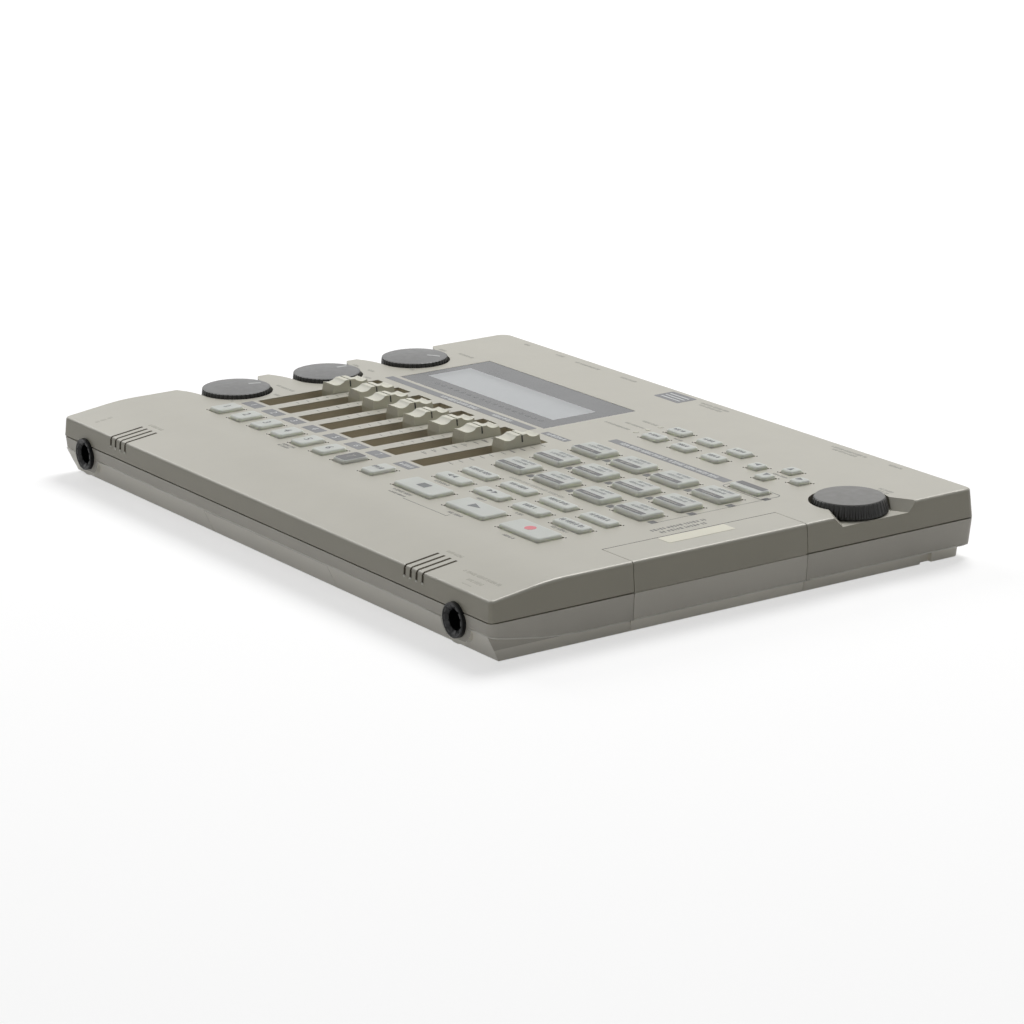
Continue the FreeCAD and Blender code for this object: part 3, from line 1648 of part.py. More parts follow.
def make_card_socket():
    right = card_wall[0] - size.lap_clearance
    across = (right - size.card_socket_length, right)
    along = span(-size.card_socket_middle, size.card_socket_width)
    case = box("SocketCase", across, along, (main_top, main_top + size.card_socket_height))
    across = (right - size.card_slot_length, right + beyond)
    along = span(-size.card_socket_middle, size.card_slot_width)
    slot = box("SocketSlot", across, along, (slot_low, slot_low + size.card_slot_height))
    publish("card_socket", removed("CardSocket", case, [slot]))


# Battery cover and contacts, feet and screws


def make_battery_cover():
    low, high = battery_cover_span
    publish("battery_cover", prism("BatteryCover", "YZ", low, high, battery_cover_outline(0)))


def make_battery_contacts():
    parts = []
    for i in range(4):
        column = size.battery_middle + size.cell_diameter * (i - 1.5)
        across = span(column, size.contact_plate)
        level = span(cell_height, size.contact_plate)
        rear = bay_along[1] - size.contact_thickness
        plate = box("RearContact", across, (rear, bay_along[1]), level)
        foot = (column, rear - size.spring_length, cell_height)
        spring = round_bar(
            "Spring", "Y", foot, size.spring_length, size.spring_tip, size.spring_base
        )
        parts.append(joined("SpringContact", [plate, spring]))
        along = (bay_along[0], bay_along[0] + size.contact_thickness)
        parts.append(box("FrontContact", across, along, level))
    publish("battery_contacts", gathered("BatteryContacts", parts))


def make_feet_and_screws():
    feet = []
    for across in (-foot_column, foot_column):
        for along in (-size.foot_ahead, size.foot_ahead):
            height = size.foot_drop + size.foot_seat
            feet.append(round_bar("Foot", "Z", (across, along, 0), height, size.foot_radius))
    publish("rubber_feet", gathered("RubberFeet", feet))
    screws = []
    for across, along in post_places:
        low = size.foot_drop + size.lap_clearance
        head = round_bar(
            "Head", "Z", (across, along, low), size.screw_head_height, size.screw_head_radius
        )
        length = size.screw_length - size.lap_clearance
        shank = round_bar("Shank", "Z", (across, along, low), length, size.screw_radius)
        screws.append(joined("Screw", [head, shank]))
    publish("case_screws", gathered("CaseScrews", screws))


# Keys


def key_body(name, places, height, plates=None):
    """Soft keys that rise through the panel from a plate below it."""
    body = new_body(name)
    margin = size.key_plate_margin
    if plates is None:
        first, last = places[0], places[-1]
        plates = [
            (
                (first[0] - first[2] / 2 - margin, last[0] + last[2] / 2 + margin),
                (first[1] - first[3] / 2 - margin, last[1] + last[3] / 2 + margin),
            )
        ]
    for across, along in plates:
        pad(body, sketch(body, "XY", plate_low, rectangle(across, along)), size.key_plate)
    gap = size.key_gap * 2
    blocks = []
    for column, row, width, depth in places:
        blocks.append(rectangle(span(column, width - gap), span(row, depth - gap)))
    top = size.panel_height + height
    feature = pad(body, sketch(body, "XY", plate_low, *blocks), top - plate_low)
    plate_line = plate_top.value - size.key_plate.value / 2

    def upright(edge):
        return edge.BoundBox.ZMax > top.value - 0.01 and edge.BoundBox.ZMin < plate_line + 0.3

    feature = fillet(body, feature, size.key_corner, upright)

    def crest(edge):
        return edge.BoundBox.ZMin > top.value - 0.01

    fillet(body, feature, size.key_round, crest)
    return body


def make_single_keys(names, columns, row, width, depth):
    form = key_body("KeyForm", [(0, 0, width, depth)], size.key_height)
    for name, column in zip(names, columns):
        placed(name, form, column, row)


def make_all_keys():
    low = size.key_height
    track_names = [f"track_key_{number}" for number in range(1, 9)]
    width, depth = size.track_key_width, size.track_key_depth
    make_single_keys(track_names, fader_columns, -size.track_key_middle, width, depth)
    names = ("stop_key", "play_key", "record_key")
    width, depth = size.transport_width, size.transport_depth
    make_single_keys(names, transport_columns, -size.transport_middle, width, depth)
    locate_names = [f"locate_key_{number}" for number in range(1, 5)]
    width, depth = size.grid_key_width, size.narrow_key_depth
    make_single_keys(locate_names, grid_columns, -size.locate_row, width, depth)
    places = [(column, -size.edit_row, width, depth) for column in grid_columns]
    publish("edit_keys", key_body("EditKeys", places, low))
    for number, row in enumerate(function_rows, start=1):
        depth = size.function_key_depth
        places = [(column, row, width, depth) for column in grid_columns]
        body = key_body(f"FunctionKeys{number}", places, size.key_tall_height)
        publish(f"function_keys_{number}", body)
    make_utility_keys(low)
    make_cursor_keys(low)


def make_utility_keys(height):
    margin = size.key_plate_margin
    width, depth = size.utility_key_width, size.utility_key_depth
    places = [(column, row, width, depth) for row in utility_rows for column in utility_columns]
    framed = (grid_columns[3], size.framed_key_middle, size.grid_key_width, size.narrow_key_depth)
    front = size.utility_strip_front
    rear = front + size.utility_strip_width
    left = utility_columns[0] - width / 2 - margin
    right = framed[0] + framed[2] / 2 + margin
    plates = [
        ((left, right), (front, rear)),
        (
            (left, utility_columns[2] + width / 2 + margin),
            (rear - margin, utility_rows[1] + depth / 2 + margin),
        ),
        (
            (framed[0] - framed[2] / 2 - margin, right),
            (framed[1] - framed[3] / 2 - margin, front + margin),
        ),
    ]
    publish("utility_keys", key_body("UtilityKeys", places + [framed], height, plates))


def make_cursor_keys(height):
    side = size.cursor_key
    margin = size.key_plate_margin + side / 2
    places = [(column, row, side, side) for column, row in cursor_places]
    plates = [
        (
            (cursor_places[0][0] - margin, cursor_places[3][0] + margin),
            (cursor_places[1][1] - margin, cursor_places[2][1] + margin),
        )
    ]
    publish("cursor_keys", key_body("CursorKeys", places, height, plates))


make_top_shell()
make_bottom_shell()
make_display()
make_panel_board()
make_lights()
make_fader_parts()
make_fader_caps()
make_knob_parts()
make_knobs()
make_dial()
make_main_board()
make_jacks()
make_sockets()
make_power_switch()
make_microphones()
make_card_cover()
make_card_socket()
make_battery_cover()
make_battery_contacts()
make_feet_and_screws()
make_all_keys()
document.recompute()

# Every object must be sound before any file is written.
for item in document.Objects:
    if "Invalid" in item.State or "Error" in item.State:
        raise RuntimeError(f"{item.Label} ({item.Name}) failed: {item.State}")
for node in nodes:
    if node.Shape.isNull() or not node.Shape.isValid() or not node.Shape.Solids:
        raise RuntimeError(f"{node.Label} has no sound shape")

os.makedirs("parts", exist_ok=True)
for node in nodes:
    node.Shape.exportStep(os.path.join("parts", f"{node.Label}.step"))
print(len(nodes), "sub-parts")
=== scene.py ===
import math

import bmesh
import bpy
from mathutils import Matrix, Vector


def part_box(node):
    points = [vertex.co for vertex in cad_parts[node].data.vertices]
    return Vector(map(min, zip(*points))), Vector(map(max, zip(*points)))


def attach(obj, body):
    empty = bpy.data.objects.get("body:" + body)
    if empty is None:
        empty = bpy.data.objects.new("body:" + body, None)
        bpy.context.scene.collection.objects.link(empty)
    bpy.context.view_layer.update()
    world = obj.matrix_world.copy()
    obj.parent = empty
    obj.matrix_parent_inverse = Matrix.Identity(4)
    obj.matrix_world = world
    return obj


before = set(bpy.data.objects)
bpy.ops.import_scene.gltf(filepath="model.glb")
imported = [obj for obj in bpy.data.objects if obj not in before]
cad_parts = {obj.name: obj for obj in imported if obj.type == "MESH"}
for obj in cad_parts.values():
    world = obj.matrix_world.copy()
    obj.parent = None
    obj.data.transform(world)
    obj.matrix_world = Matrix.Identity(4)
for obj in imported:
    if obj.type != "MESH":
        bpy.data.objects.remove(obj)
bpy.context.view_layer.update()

# Lengths are in millimetres, which MM turns into metres. Colours are in 0 to 255 steps.
MM = 0.001
PANEL = 22.35
KEY_TOP = 23.6
HIGH_KEY_TOP = 24.0
SEAM = 13.0
PRINT_RISE = 0.03
PRINT_SINK = 0.02
ON_PRINT = PANEL + PRINT_RISE


def linear(red, green, blue):
    """A colour given in 0 to 255 steps, as the shader wants it."""
    values = []
    for step in (red, green, blue):
        share = step / 255
        values.append(share / 12.92 if share <= 0.04045 else ((share + 0.055) / 1.055) ** 2.4)
    return (*values, 1.0)


# Materials

class Nodes:
    """The node tree of one material, with its Principled shader."""

    def __init__(self, name):
        self.material = bpy.data.materials.new(name)
        self.material.use_nodes = True
        self.tree = self.material.node_tree
        self.shader = self.tree.nodes["Principled BSDF"]
        coordinates = self.add("ShaderNodeTexCoord")
        self.place = coordinates.outputs["Object"]
        self.facing = coordinates.outputs["Normal"]

    def add(self, kind, **values):
        node = self.tree.nodes.new(kind)
        for key, value in values.items():
            setattr(node, key, value)
        return node

    def link(self, source, target):
        self.tree.links.new(source, target)

    def feed(self, socket, value):
        """Links a socket to an input, or writes a constant on it."""
        if isinstance(value, bpy.types.NodeSocket):
            self.link(value, socket)
        else:
            socket.default_value = value

    def noise(self, size, detail=2.0, rough=0.5):
        """Noise whose grain is about `size` millimetres."""
        node = self.add("ShaderNodeTexNoise")
        node.inputs["Scale"].default_value = 1 / (size * MM)
        node.inputs["Detail"].default_value = detail
        node.inputs["Roughness"].default_value = rough
        self.link(self.place, node.inputs["Vector"])
        return node.outputs["Fac"]

    def ramp(self, factor, low, high, start=0.0, stop=1.0):
        """Maps a range of a factor onto another."""
        node = self.add("ShaderNodeMapRange")
        node.clamp = True
        ends = {"From Min": low, "From Max": high, "To Min": start, "To Max": stop}
        for key, value in ends.items():
            node.inputs[key].default_value = value
        self.link(factor, node.inputs["Value"])
        return node.outputs["Result"]

    def math(self, operation, first, second=0.0):
        node = self.add("ShaderNodeMath", operation=operation)
        self.feed(node.inputs[0], first)
        self.feed(node.inputs[1], second)
        return node.outputs[0]

    def mix(self, factor, first, second, blend="MIX"):
        node = self.add("ShaderNodeMix", data_type="RGBA", blend_type=blend)
        self.feed(node.inputs["Factor"], factor)
        self.feed(node.inputs[6], first)
        self.feed(node.inputs[7], second)
        return node.outputs[2]

    def axis(self, letter):
        node = self.add("ShaderNodeSeparateXYZ")
        self.link(self.place, node.inputs[0])
        return node.outputs[letter]

    def above(self, low, high):
        """1 above a height and 0 below it, blended between `low` and `high`."""
        return self.ramp(self.axis("Z"), low * MM, high * MM)

    def below(self, low, high):
        """0 above a height and 1 below it, blended between `low` and `high`."""
        return self.ramp(self.axis("Z"), low * MM, high * MM, 1.0, 0.0)

    def inside(self, letter, low, high, soft=0.02):
        """1 where a coordinate lies between two places."""
        value = self.axis(letter)
        rise = self.ramp(value, (low - soft) * MM, (low + soft) * MM)
        fall = self.ramp(value, (high - soft) * MM, (high + soft) * MM, 1.0, 0.0)
        return self.math("MULTIPLY", rise, fall)

    def bump(self, height, depth):
        """Raises the surface by `depth` millimetres at most."""
        node = self.add("ShaderNodeBump")
        node.inputs["Distance"].default_value = depth * MM
        node.inputs["Strength"].default_value = 1.0
        self.link(height, node.inputs["Height"])
        return node.outputs["Normal"]

    def set(self, **values):
        """Sets the shader's inputs; an underscore in a name stands for a space."""
        for key, value in values.items():
            self.feed(self.shader.inputs[key.replace("_", " ")], value)


SLOW_PATCH, WORN_PATCH = 22, 9
SPECK_SHARE = 0.4
DARK_SHARE = 1.6
WEAR_DOWN, WEAR_UP = 0.015, 0.02


def moulded(name, colour, rough=0.5, grain=0.25, depth=0.006, blotch=0.04, metal=0.0, spec=0.5,
            extra=None):
    """Plastic, paint or metal with grain, slow colour variation and worn patches."""
    nodes = Nodes(name)
    base = linear(*colour)[:3]
    light = (*[min(1.0, value * (1 + blotch)) for value in base], 1.0)
    dark = (*[value * (1 - blotch * DARK_SHARE) for value in base], 1.0)
    slow = nodes.ramp(nodes.noise(SLOW_PATCH, 3.0), 0.3, 0.7)
    tone = nodes.mix(slow, dark, light)
    fine = nodes.noise(grain, 3.0, 0.6)
    speck = nodes.mix(nodes.ramp(fine, 0.35, 0.65), dark, light)
    tone = nodes.mix(SPECK_SHARE, tone, speck)
    if extra:
        tone = extra(nodes, tone)
    wear = nodes.ramp(nodes.noise(WORN_PATCH, 4.0), 0.35, 0.75, rough - WEAR_DOWN, rough + WEAR_UP)
    nodes.set(Base_Color=tone, Roughness=wear, Metallic=metal, Normal=nodes.bump(fine, depth),
              Specular_IOR_Level=spec)
    return nodes


CHAMPAGNE = (182, 179, 167)
LOWER_CASE = (204, 200, 189)
# Painted light from the floor on the case's foot and leaning face.
FOOT_BOUNCE_LIGHT = (246, 242, 230)
# WALL_SHADE darkens upright walls as painted shade.
WALL_SHADE = (232, 230, 223)
# Painted light bounced inside the fader slots.
SLOT_BOUNCE_TINT = (192, 184, 166)
# Key sides painted paler: a painted glow through the silicone.
KEY_SIDE_GLOW = (240, 242, 232)
FOOT_EDGE = (4.1, 4.2)
SLOT_EDGE = (21.9, 22.25)
SLOT_FIELD_X = (-98.6, 6.2)
SLOT_FIELD_Y = (-33.7, 16.4)
WALL_TURN = (0.15, 0.6)
LEAN_TURN = (-0.35, -0.15)


def facing_up(nodes, low, high):
    """1 where the surface's own normal points up by more than `high`, 0 below `low`."""
    split = nodes.add("ShaderNodeSeparateXYZ")
    nodes.link(nodes.facing, split.inputs[0])
    return nodes.ramp(split.outputs["Z"], low, high)


def side_tint(nodes, tone):
    """Painted shade: upright walls are darkened, where less light falls on them."""
    darker = nodes.mix(1.0, tone, linear(*WALL_SHADE), "MULTIPLY")
    return nodes.mix(facing_up(nodes, *WALL_TURN), darker, tone)


def foot_tint(nodes, tone):
    """Painted light from the floor: the foot of the case and the face that leans under the band are
    lighter.
    """
    low = nodes.below(*FOOT_EDGE)
    leaning = nodes.math("SUBTRACT", 1.0, facing_up(nodes, *LEAN_TURN))
    return nodes.mix(nodes.math("MAXIMUM", low, leaning), tone, linear(*FOOT_BOUNCE_LIGHT))


def slot_tint(nodes, tone):
    """The top's paint with the painted wall shade, and painted light in the fader slots: their
    walls and floors are tinted a lighter warm brown for light bounced inside them.
    """
    across = nodes.inside("X", *SLOT_FIELD_X)
    along = nodes.inside("Y", *SLOT_FIELD_Y)
    sunk = nodes.below(*SLOT_EDGE)
    inside = nodes.math("MULTIPLY", nodes.math("MULTIPLY", across, along), sunk)
    return nodes.mix(inside, side_tint(nodes, tone), linear(*SLOT_BOUNCE_TINT))


def cover_tint(nodes, tone):
    """The cover takes the lower case's colour under the seam, with the painted floor light at its
    foot, and the painted wall shade above.
    """
    under = nodes.below(SEAM - 0.05, SEAM + 0.05)
    lower = foot_tint(nodes, linear(*LOWER_CASE))
    return nodes.mix(under, side_tint(nodes, tone), lower)


def two_tone(name, top, side, level, rough_top, rough_side):
    """A moulding whose top has one colour and its ribbed side another."""
    nodes = moulded(name, top, rough_top, 0.3, 0.008, 0.05)
    upper = nodes.above(*level)
    tint = nodes.shader.inputs["Base Color"].links[0].from_socket
    fleck = nodes.mix(nodes.noise(0.5), linear(*side), linear(*[value + 12 for value in side]))
    gloss = nodes.ramp(upper, 0.0, 1.0, rough_side, rough_top)
    gloss = nodes.math("ADD", gloss, nodes.ramp(nodes.noise(3.0), 0.3, 0.7, -0.05, 0.05))
    nodes.set(Base_Color=nodes.mix(upper, fleck, tint), Roughness=gloss, Specular_IOR_Level=0.35)
    return nodes


def milky(nodes, weight, scale):
    """Lets a little light into a pale moulding."""
    nodes.set(Subsurface_Weight=weight, Subsurface_Scale=scale, Subsurface_Radius=(1.0, 0.95, 0.8))
    return nodes


def silicone(name, top, level):
    """Soft keys: milky, with light passing through; their sides are painted paler, a painted glow
    for light through the silicone.
    """
    nodes = moulded(name, top, 0.5, 0.5, 0.004, 0.03)
    tint = nodes.shader.inputs["Base Color"].links[0].from_socket
    upper = nodes.above(level - 0.75, level - 0.05)
    nodes.set(Base_Color=nodes.mix(upper, linear(*KEY_SIDE_GLOW), tint), Subsurface_Weight=1.0,
              Subsurface_Scale=0.0018, Subsurface_Radius=(0.97, 1.0, 0.92),
              Specular_IOR_Level=0.35)
    return nodes


def board():
    """Green solder mask with copper runs and pale joints."""
    nodes = Nodes("circuit_board")
    runs = nodes.add("ShaderNodeTexBrick")
    runs.inputs["Scale"].default_value = 1 / (14 * MM)
    runs.inputs["Mortar Size"].default_value = 0.035
    runs.inputs["Color1"].default_value = linear(30, 84, 56)
    runs.inputs["Color2"].default_value = linear(36, 92, 62)
    runs.inputs["Mortar"].default_value = linear(58, 120, 78)
    nodes.link(nodes.place, runs.inputs["Vector"])
    dots = nodes.add("ShaderNodeTexVoronoi")
    dots.inputs["Scale"].default_value = 1 / (3.5 * MM)
    nodes.link(nodes.place, dots.inputs["Vector"])
    joint = nodes.ramp(dots.outputs["Distance"], 0.12, 0.16, 1.0, 0.0)
    tone = nodes.mix(nodes.math("MULTIPLY", joint, 0.8), runs.outputs["Color"],
                     linear(170, 172, 165))
    rough = nodes.ramp(nodes.noise(2.0), 0.3, 0.7, 0.3, 0.45)
    nodes.set(Base_Color=tone, Roughness=rough, Normal=nodes.bump(joint, 0.08))
    return nodes


SCREEN_X, SCREEN_Y, SCREEN_SOFT = (-92.6, -17.0), (33.6, 51.4), 0.05
HAZE_COVER = 0.7


def window():
    """A clear panel printed opaque round the screen opening."""
    nodes = Nodes("display_window")
    open_x = nodes.inside("X", *SCREEN_X, SCREEN_SOFT)
    open_y = nodes.inside("Y", *SCREEN_Y, SCREEN_SOFT)
    clear = nodes.math("MULTIPLY", open_x, open_y)
    haze = nodes.mix(nodes.noise(14, 3.0), linear(206, 209, 211), linear(214, 217, 218))
    ink = nodes.mix(nodes.noise(12, 3.0), linear(76, 77, 78), linear(82, 83, 84))
    dust = nodes.ramp(nodes.noise(16, 3.0), 0.35, 0.75, 0.2, 0.28)
    nodes.set(Base_Color=nodes.mix(clear, ink, haze), Roughness=dust,
              Alpha=nodes.ramp(clear, 0.0, 1.0, 1.0, HAZE_COVER), Specular_IOR_Level=0.5,
              Normal=nodes.bump(nodes.noise(30, 2.0), 0.01))
    return nodes


def screen():
    """Liquid crystal: pale, with a faint lattice of cells."""
    nodes = Nodes("screen_cells")
    rows = nodes.add("ShaderNodeTexBrick", offset=0.0)
    rows.inputs["Scale"].default_value = 1 / (4.2 * MM)
    rows.inputs["Mortar Size"].default_value = 0.06
    rows.inputs["Brick Width"].default_value = 0.8
    rows.inputs["Row Height"].default_value = 1.6
    rows.inputs["Color1"].default_value = linear(206, 210, 212)
    rows.inputs["Color2"].default_value = linear(200, 204, 207)
    rows.inputs["Mortar"].default_value = linear(216, 219, 220)
    nodes.link(nodes.place, rows.inputs["Vector"])
    shade = nodes.mix(nodes.ramp(nodes.noise(30, 2.0), 0.3, 0.7), linear(228, 230, 232),
                      linear(255, 255, 255))
    tone = nodes.mix(1.0, rows.outputs["Color"], shade, "MULTIPLY")
    nodes.set(Base_Color=tone, Roughness=nodes.ramp(nodes.noise(8), 0.3, 0.7, 0.25, 0.35))
    return nodes


# After a colour: roughness, size and depth of the grain, blotch, metal and specular level.
PAINT = (0.39, 0.16, 0.003, 0.025, 0.06, 0.5)
CASE = (0.42, 0.22, 0.005, 0.03, 0.03, 0.45)
INK = (0.5, 0.2, 0.002, 0.05)
MATERIALS = {
    # top_paint and cover_paint carry the painted wall shade.
    "top_paint": moulded("top_paint", CHAMPAGNE, *PAINT, extra=slot_tint),
    "cover_paint": moulded("cover_paint", CHAMPAGNE, *PAINT, extra=cover_tint),
    # The raised marks' darker colour is painted shade.
    "raised_mark_shade": moulded("raised_mark_shade", (168, 165, 153), *PAINT),
    # case_plastic carries the painted floor light on its foot.
    "case_plastic": moulded("case_plastic", LOWER_CASE, *CASE, extra=foot_tint),
    # A pale colour for painted highlights on rounded edges and slot lips.
    "painted_edge_highlight": moulded("painted_edge_highlight", (246, 244, 235), 0.4, 0.22, 0.003, 0.02),
    "black_plastic": moulded("black_plastic", (13, 14, 16), 0.3, 0.4, 0.004, 0.15, spec=0.3),
    "switch": moulded("switch_black", (34, 34, 36), 0.45, 0.25, 0.01, 0.12),
    "foot_rubber": moulded("foot_rubber", (44, 44, 44), 0.85, 0.5, 0.03, 0.2),
    "mat": moulded("mat_silicone", (150, 152, 150), 0.7, 0.5, 0.01, 0.06),
    "steel": moulded("plated_steel", (168, 168, 170), 0.32, 0.3, 0.003, 0.06, 1.0),
    "cap": milky(moulded("cap_ivory", (214, 212, 196), 0.42, 0.3, 0.003, 0.03), 0.12, 0.0008),
    "knob": two_tone("knob_grey", (112, 112, 111), (38, 38, 36), (23.5, 23.85), 0.42, 0.4),
    "dial": two_tone("dial_grey", (108, 107, 104), (34, 34, 32), (23.66, 23.74), 0.42, 0.36),
    "silicone": silicone("key_silicone", (200, 203, 197), KEY_TOP),
    "function": silicone("function_silicone", (196, 199, 193), HIGH_KEY_TOP),
    "board": board(),
    "window": window(),
    "screen": screen(),
    "light": milky(moulded("light_lens", (208, 205, 188), 0.22, 0.4, 0.002, 0.05), 0.3, 0.001),
    "ink_dark": moulded("ink_dark", (84, 84, 84), *INK),
    "ink_grey": moulded("ink_grey", (115, 116, 118), *INK),
    "ink_line": moulded("ink_line", (106, 105, 100), *INK),
    "ink_faint": moulded("ink_faint", (152, 151, 143), *INK),
    "ink_white": moulded("ink_white", (206, 208, 208), *INK),
    "ink_key": moulded("ink_key", (94, 97, 98), *INK),
    "ink_soft": moulded("ink_soft", (134, 137, 137), *INK),
    "ink_red": moulded("ink_red", (214, 112, 120), *INK),
    "sticker": moulded("sticker_cream", (226, 223, 206), 0.6, 0.3, 0.003, 0.03),
    "groove": moulded("groove_shadow", (66, 64, 58), 0.6, 0.3, 0.003, 0.08),
    "pointer": moulded("pointer_grey", (188, 189, 188), *INK),
    "inlay": moulded("inlay_dark", (44, 44, 42), 0.5, 0.2, 0.002, 0.1),
    "ink_window": moulded("window_ink", (92, 93, 95), 0.4, 0.2, 0.002, 0.05),
    "brass": moulded("contact_brass", (176, 156, 108), 0.3, 0.3, 0.003, 0.08, 1.0),
    # A dark colour for the painted shadow in the microphone slots.
    "painted_slot_shadow": moulded("painted_slot_shadow", (66, 60, 48), 0.8, 0.4, 0.02, 0.15, spec=0.2),
}

NODE_MATERIALS = {
    "top_shell": "top_paint", "bottom_shell": "case_plastic", "display_window": "window",
    "display_module": "screen", "panel_board": "board", "fader_board": "board",
    "main_board": "board", "board_ribbons": "black_plastic", "key_mat": "mat",
    "fader_potentiometers": "steel", "knob_potentiometers": "steel", "dial_encoder": "steel",
    "front_jacks": "black_plastic", "rear_jacks": "black_plastic",
    "line_out_sockets": "black_plastic", "usb_socket": "steel", "dc_inlet": "black_plastic",
    "power_switch_body": "black_plastic", "card_socket": "black_plastic", "microphones": "steel",
    "indicator_lights": "light", "rubber_feet": "foot_rubber", "case_screws": "steel",
    "battery_contacts": "steel", "card_cover": "cover_paint", "battery_cover": "case_plastic",
    "power_slider": "switch", "dial": "dial",
}
for kind in ("stop", "play", "record"):
    NODE_MATERIALS[f"{kind}_key"] = "silicone"
for kind in ("edit", "utility", "cursor"):
    NODE_MATERIALS[f"{kind}_keys"] = "silicone"
for number in range(1, 9):
    NODE_MATERIALS[f"fader_cap_{number}"] = "cap"
    NODE_MATERIALS[f"track_key_{number}"] = "silicone"
for number in range(1, 4):
    NODE_MATERIALS[f"knob_{number}"] = "knob"
    NODE_MATERIALS[f"function_keys_{number}"] = "function"
for number in range(1, 5):
    NODE_MATERIALS[f"locate_key_{number}"] = "silicone"
for node_name, material_name in NODE_MATERIALS.items():
    node_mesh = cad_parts[node_name].data
    node_mesh.materials.clear()
    node_mesh.materials.append(MATERIALS[material_name].material)


# Mesh helpers

def piece(name, shapes, material, body, smooth=False):
    """One object from closed shapes, each (vertices, faces)."""
    vertices, faces = [], []
    for points, loops in shapes:
        base = len(vertices)
        vertices += [Vector(point) * MM for point in points]
        faces += [[base + index for index in face] for face in loops]
    mesh = bpy.data.meshes.new(name)
    mesh.from_pydata(vertices, [], faces)
    mesh.update()
    form = bmesh.new()
    form.from_mesh(mesh)
    bmesh.ops.recalc_face_normals(form, faces=form.faces)
    form.to_mesh(mesh)
    form.free()
    mesh.materials.append(MATERIALS[material].material)
    if smooth:
        mesh.shade_smooth()
    made = bpy.data.objects.new(name, mesh)
    bpy.context.scene.collection.objects.link(made)
    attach(made, body)
    return made


def circle(steps, start=0.0):
    """The cosine and sine of each step round a circle."""
    angles = [2 * math.pi * (step + start) / steps for step in range(steps)]
    return [(math.cos(angle), math.sin(angle)) for angle in angles]


def ring_walls(rings, around, first=0):
    """The faces between rings that follow each other, of `around` points each."""
    faces = []
    for ring in range(rings - 1):
        base = first + ring * around
        for part in range(around):
            after = (part + 1) % around
            faces.append([base + part, base + after, base + around + after, base + around + part])
    return faces


def prism(points):
    """A solid between two outlines of the same length, listed one after the other."""
    count = len(points) // 2
    ends = [list(range(count))[::-1], [count + index for index in range(count)]]
    return points, ends + ring_walls(2, count)


def lofted(points, around):
    """A solid along rings of `around` points each, closed at both ends."""
    rings = len(points) // around
    last = (rings - 1) * around
    ends = [list(range(around))[::-1], [last + part for part in range(around)]]
    return points, ring_walls(rings, around) + ends


def plate(outline, level, rise=PRINT_RISE, sink=PRINT_SINK):
    """A thin solid with a flat outline, lying on a level."""
    return prism([(x, y, level - sink) for x, y in outline]
                 + [(x, y, level + rise) for x, y in outline])


def extruded(outline, low, high):
    """A solid with an outline in X and Z, run along Y."""
    return prism([(x, y, z) for y in (low, high) for x, z in outline])


def ring_plate(inner, outer, level):
    """A thin solid between two outlines of the same length."""
    count = len(inner)
    points = []
    for height in (level - PRINT_SINK, level + PRINT_RISE):
        points += [(x, y, height) for x, y in inner] + [(x, y, height) for x, y in outer]
    faces = []
    for index in range(count):
        after = (index + 1) % count
        for low, high in ((0, count), (3 * count, 2 * count)):
            faces.append([low + index, low + after, high + after, high + index])
        for wall in (0, count):
            top = 2 * count + wall
            faces.append([wall + index, wall + after, top + after, top + index])
    return points, faces


def rounded(x, y, width, depth, radius=0.3, steps=4):
    """The outline of a rectangle with round corners, from its middle."""
    outline = []
    for turn, (side, end) in enumerate(((1, 1), (-1, 1), (-1, -1), (1, -1))):
        middle_x = x + side * (width / 2 - radius)
        middle_y = y + end * (depth / 2 - radius)
        for step in range(steps + 1):
            angle = math.pi / 2 * (turn + step / steps)
            outline.append((middle_x + radius * math.cos(angle),
                            middle_y + radius * math.sin(angle)))
    return outline


def bounds_plate(low_x, high_x, low_y, high_y, level=PANEL, radius=0.25):
    """A rounded plate from its sides."""
    middle = ((low_x + high_x) / 2, (low_y + high_y) / 2)
    return plate(rounded(*middle, high_x - low_x, high_y - low_y, radius), level)


def disc(x, y, radius, level):
    """A round plate."""
    return plate([(x + radius * c, y + radius * s) for c, s in circle(24)], level)


def triangle(x, y, width, depth, level, turn=0.0):
    """A flat triangle that points along +X before it is turned."""
    corners = ((-width / 2, -depth / 2), (width / 2, 0.0), (-width / 2, depth / 2))
    c, s = math.cos(turn), math.sin(turn)
    return plate([(x + a * c - b * s, y + a * s + b * c) for a, b in corners], level)


def stroke(points, width, level):
    """A thin bar along each run of a line."""
    shapes = []
    for (x1, y1), (x2, y2) in zip(points, points[1:]):
        length = math.hypot(x2 - x1, y2 - y1)
        along = ((x2 - x1) / length, (y2 - y1) / length)
        side = (-along[1] * width / 2, along[0] * width / 2)
        reach = (along[0] * width / 2, along[1] * width / 2)
        shapes.append(plate([
            (x1 - reach[0] - side[0], y1 - reach[1] - side[1]),
            (x2 + reach[0] - side[0], y2 + reach[1] - side[1]),
            (x2 + reach[0] + side[0], y2 + reach[1] + side[1]),
            (x1 - reach[0] + side[0], y1 - reach[1] + side[1]),
        ], level))
    return shapes


# The marks of a caption, as shares of its height: widths, gaps, and how tall each third one is.
MARK_WIDTHS = (0.7, 0.45, 0.6, 0.8, 0.4, 0.65, 0.5, 0.75)
MARK_SCALE = 0.62
MARK_GAP, WORD_GAP = 0.3, 0.62
SHORT_MARK = 0.78
NARROWEST_MARK = 0.2
MARK_CORNER = 0.04


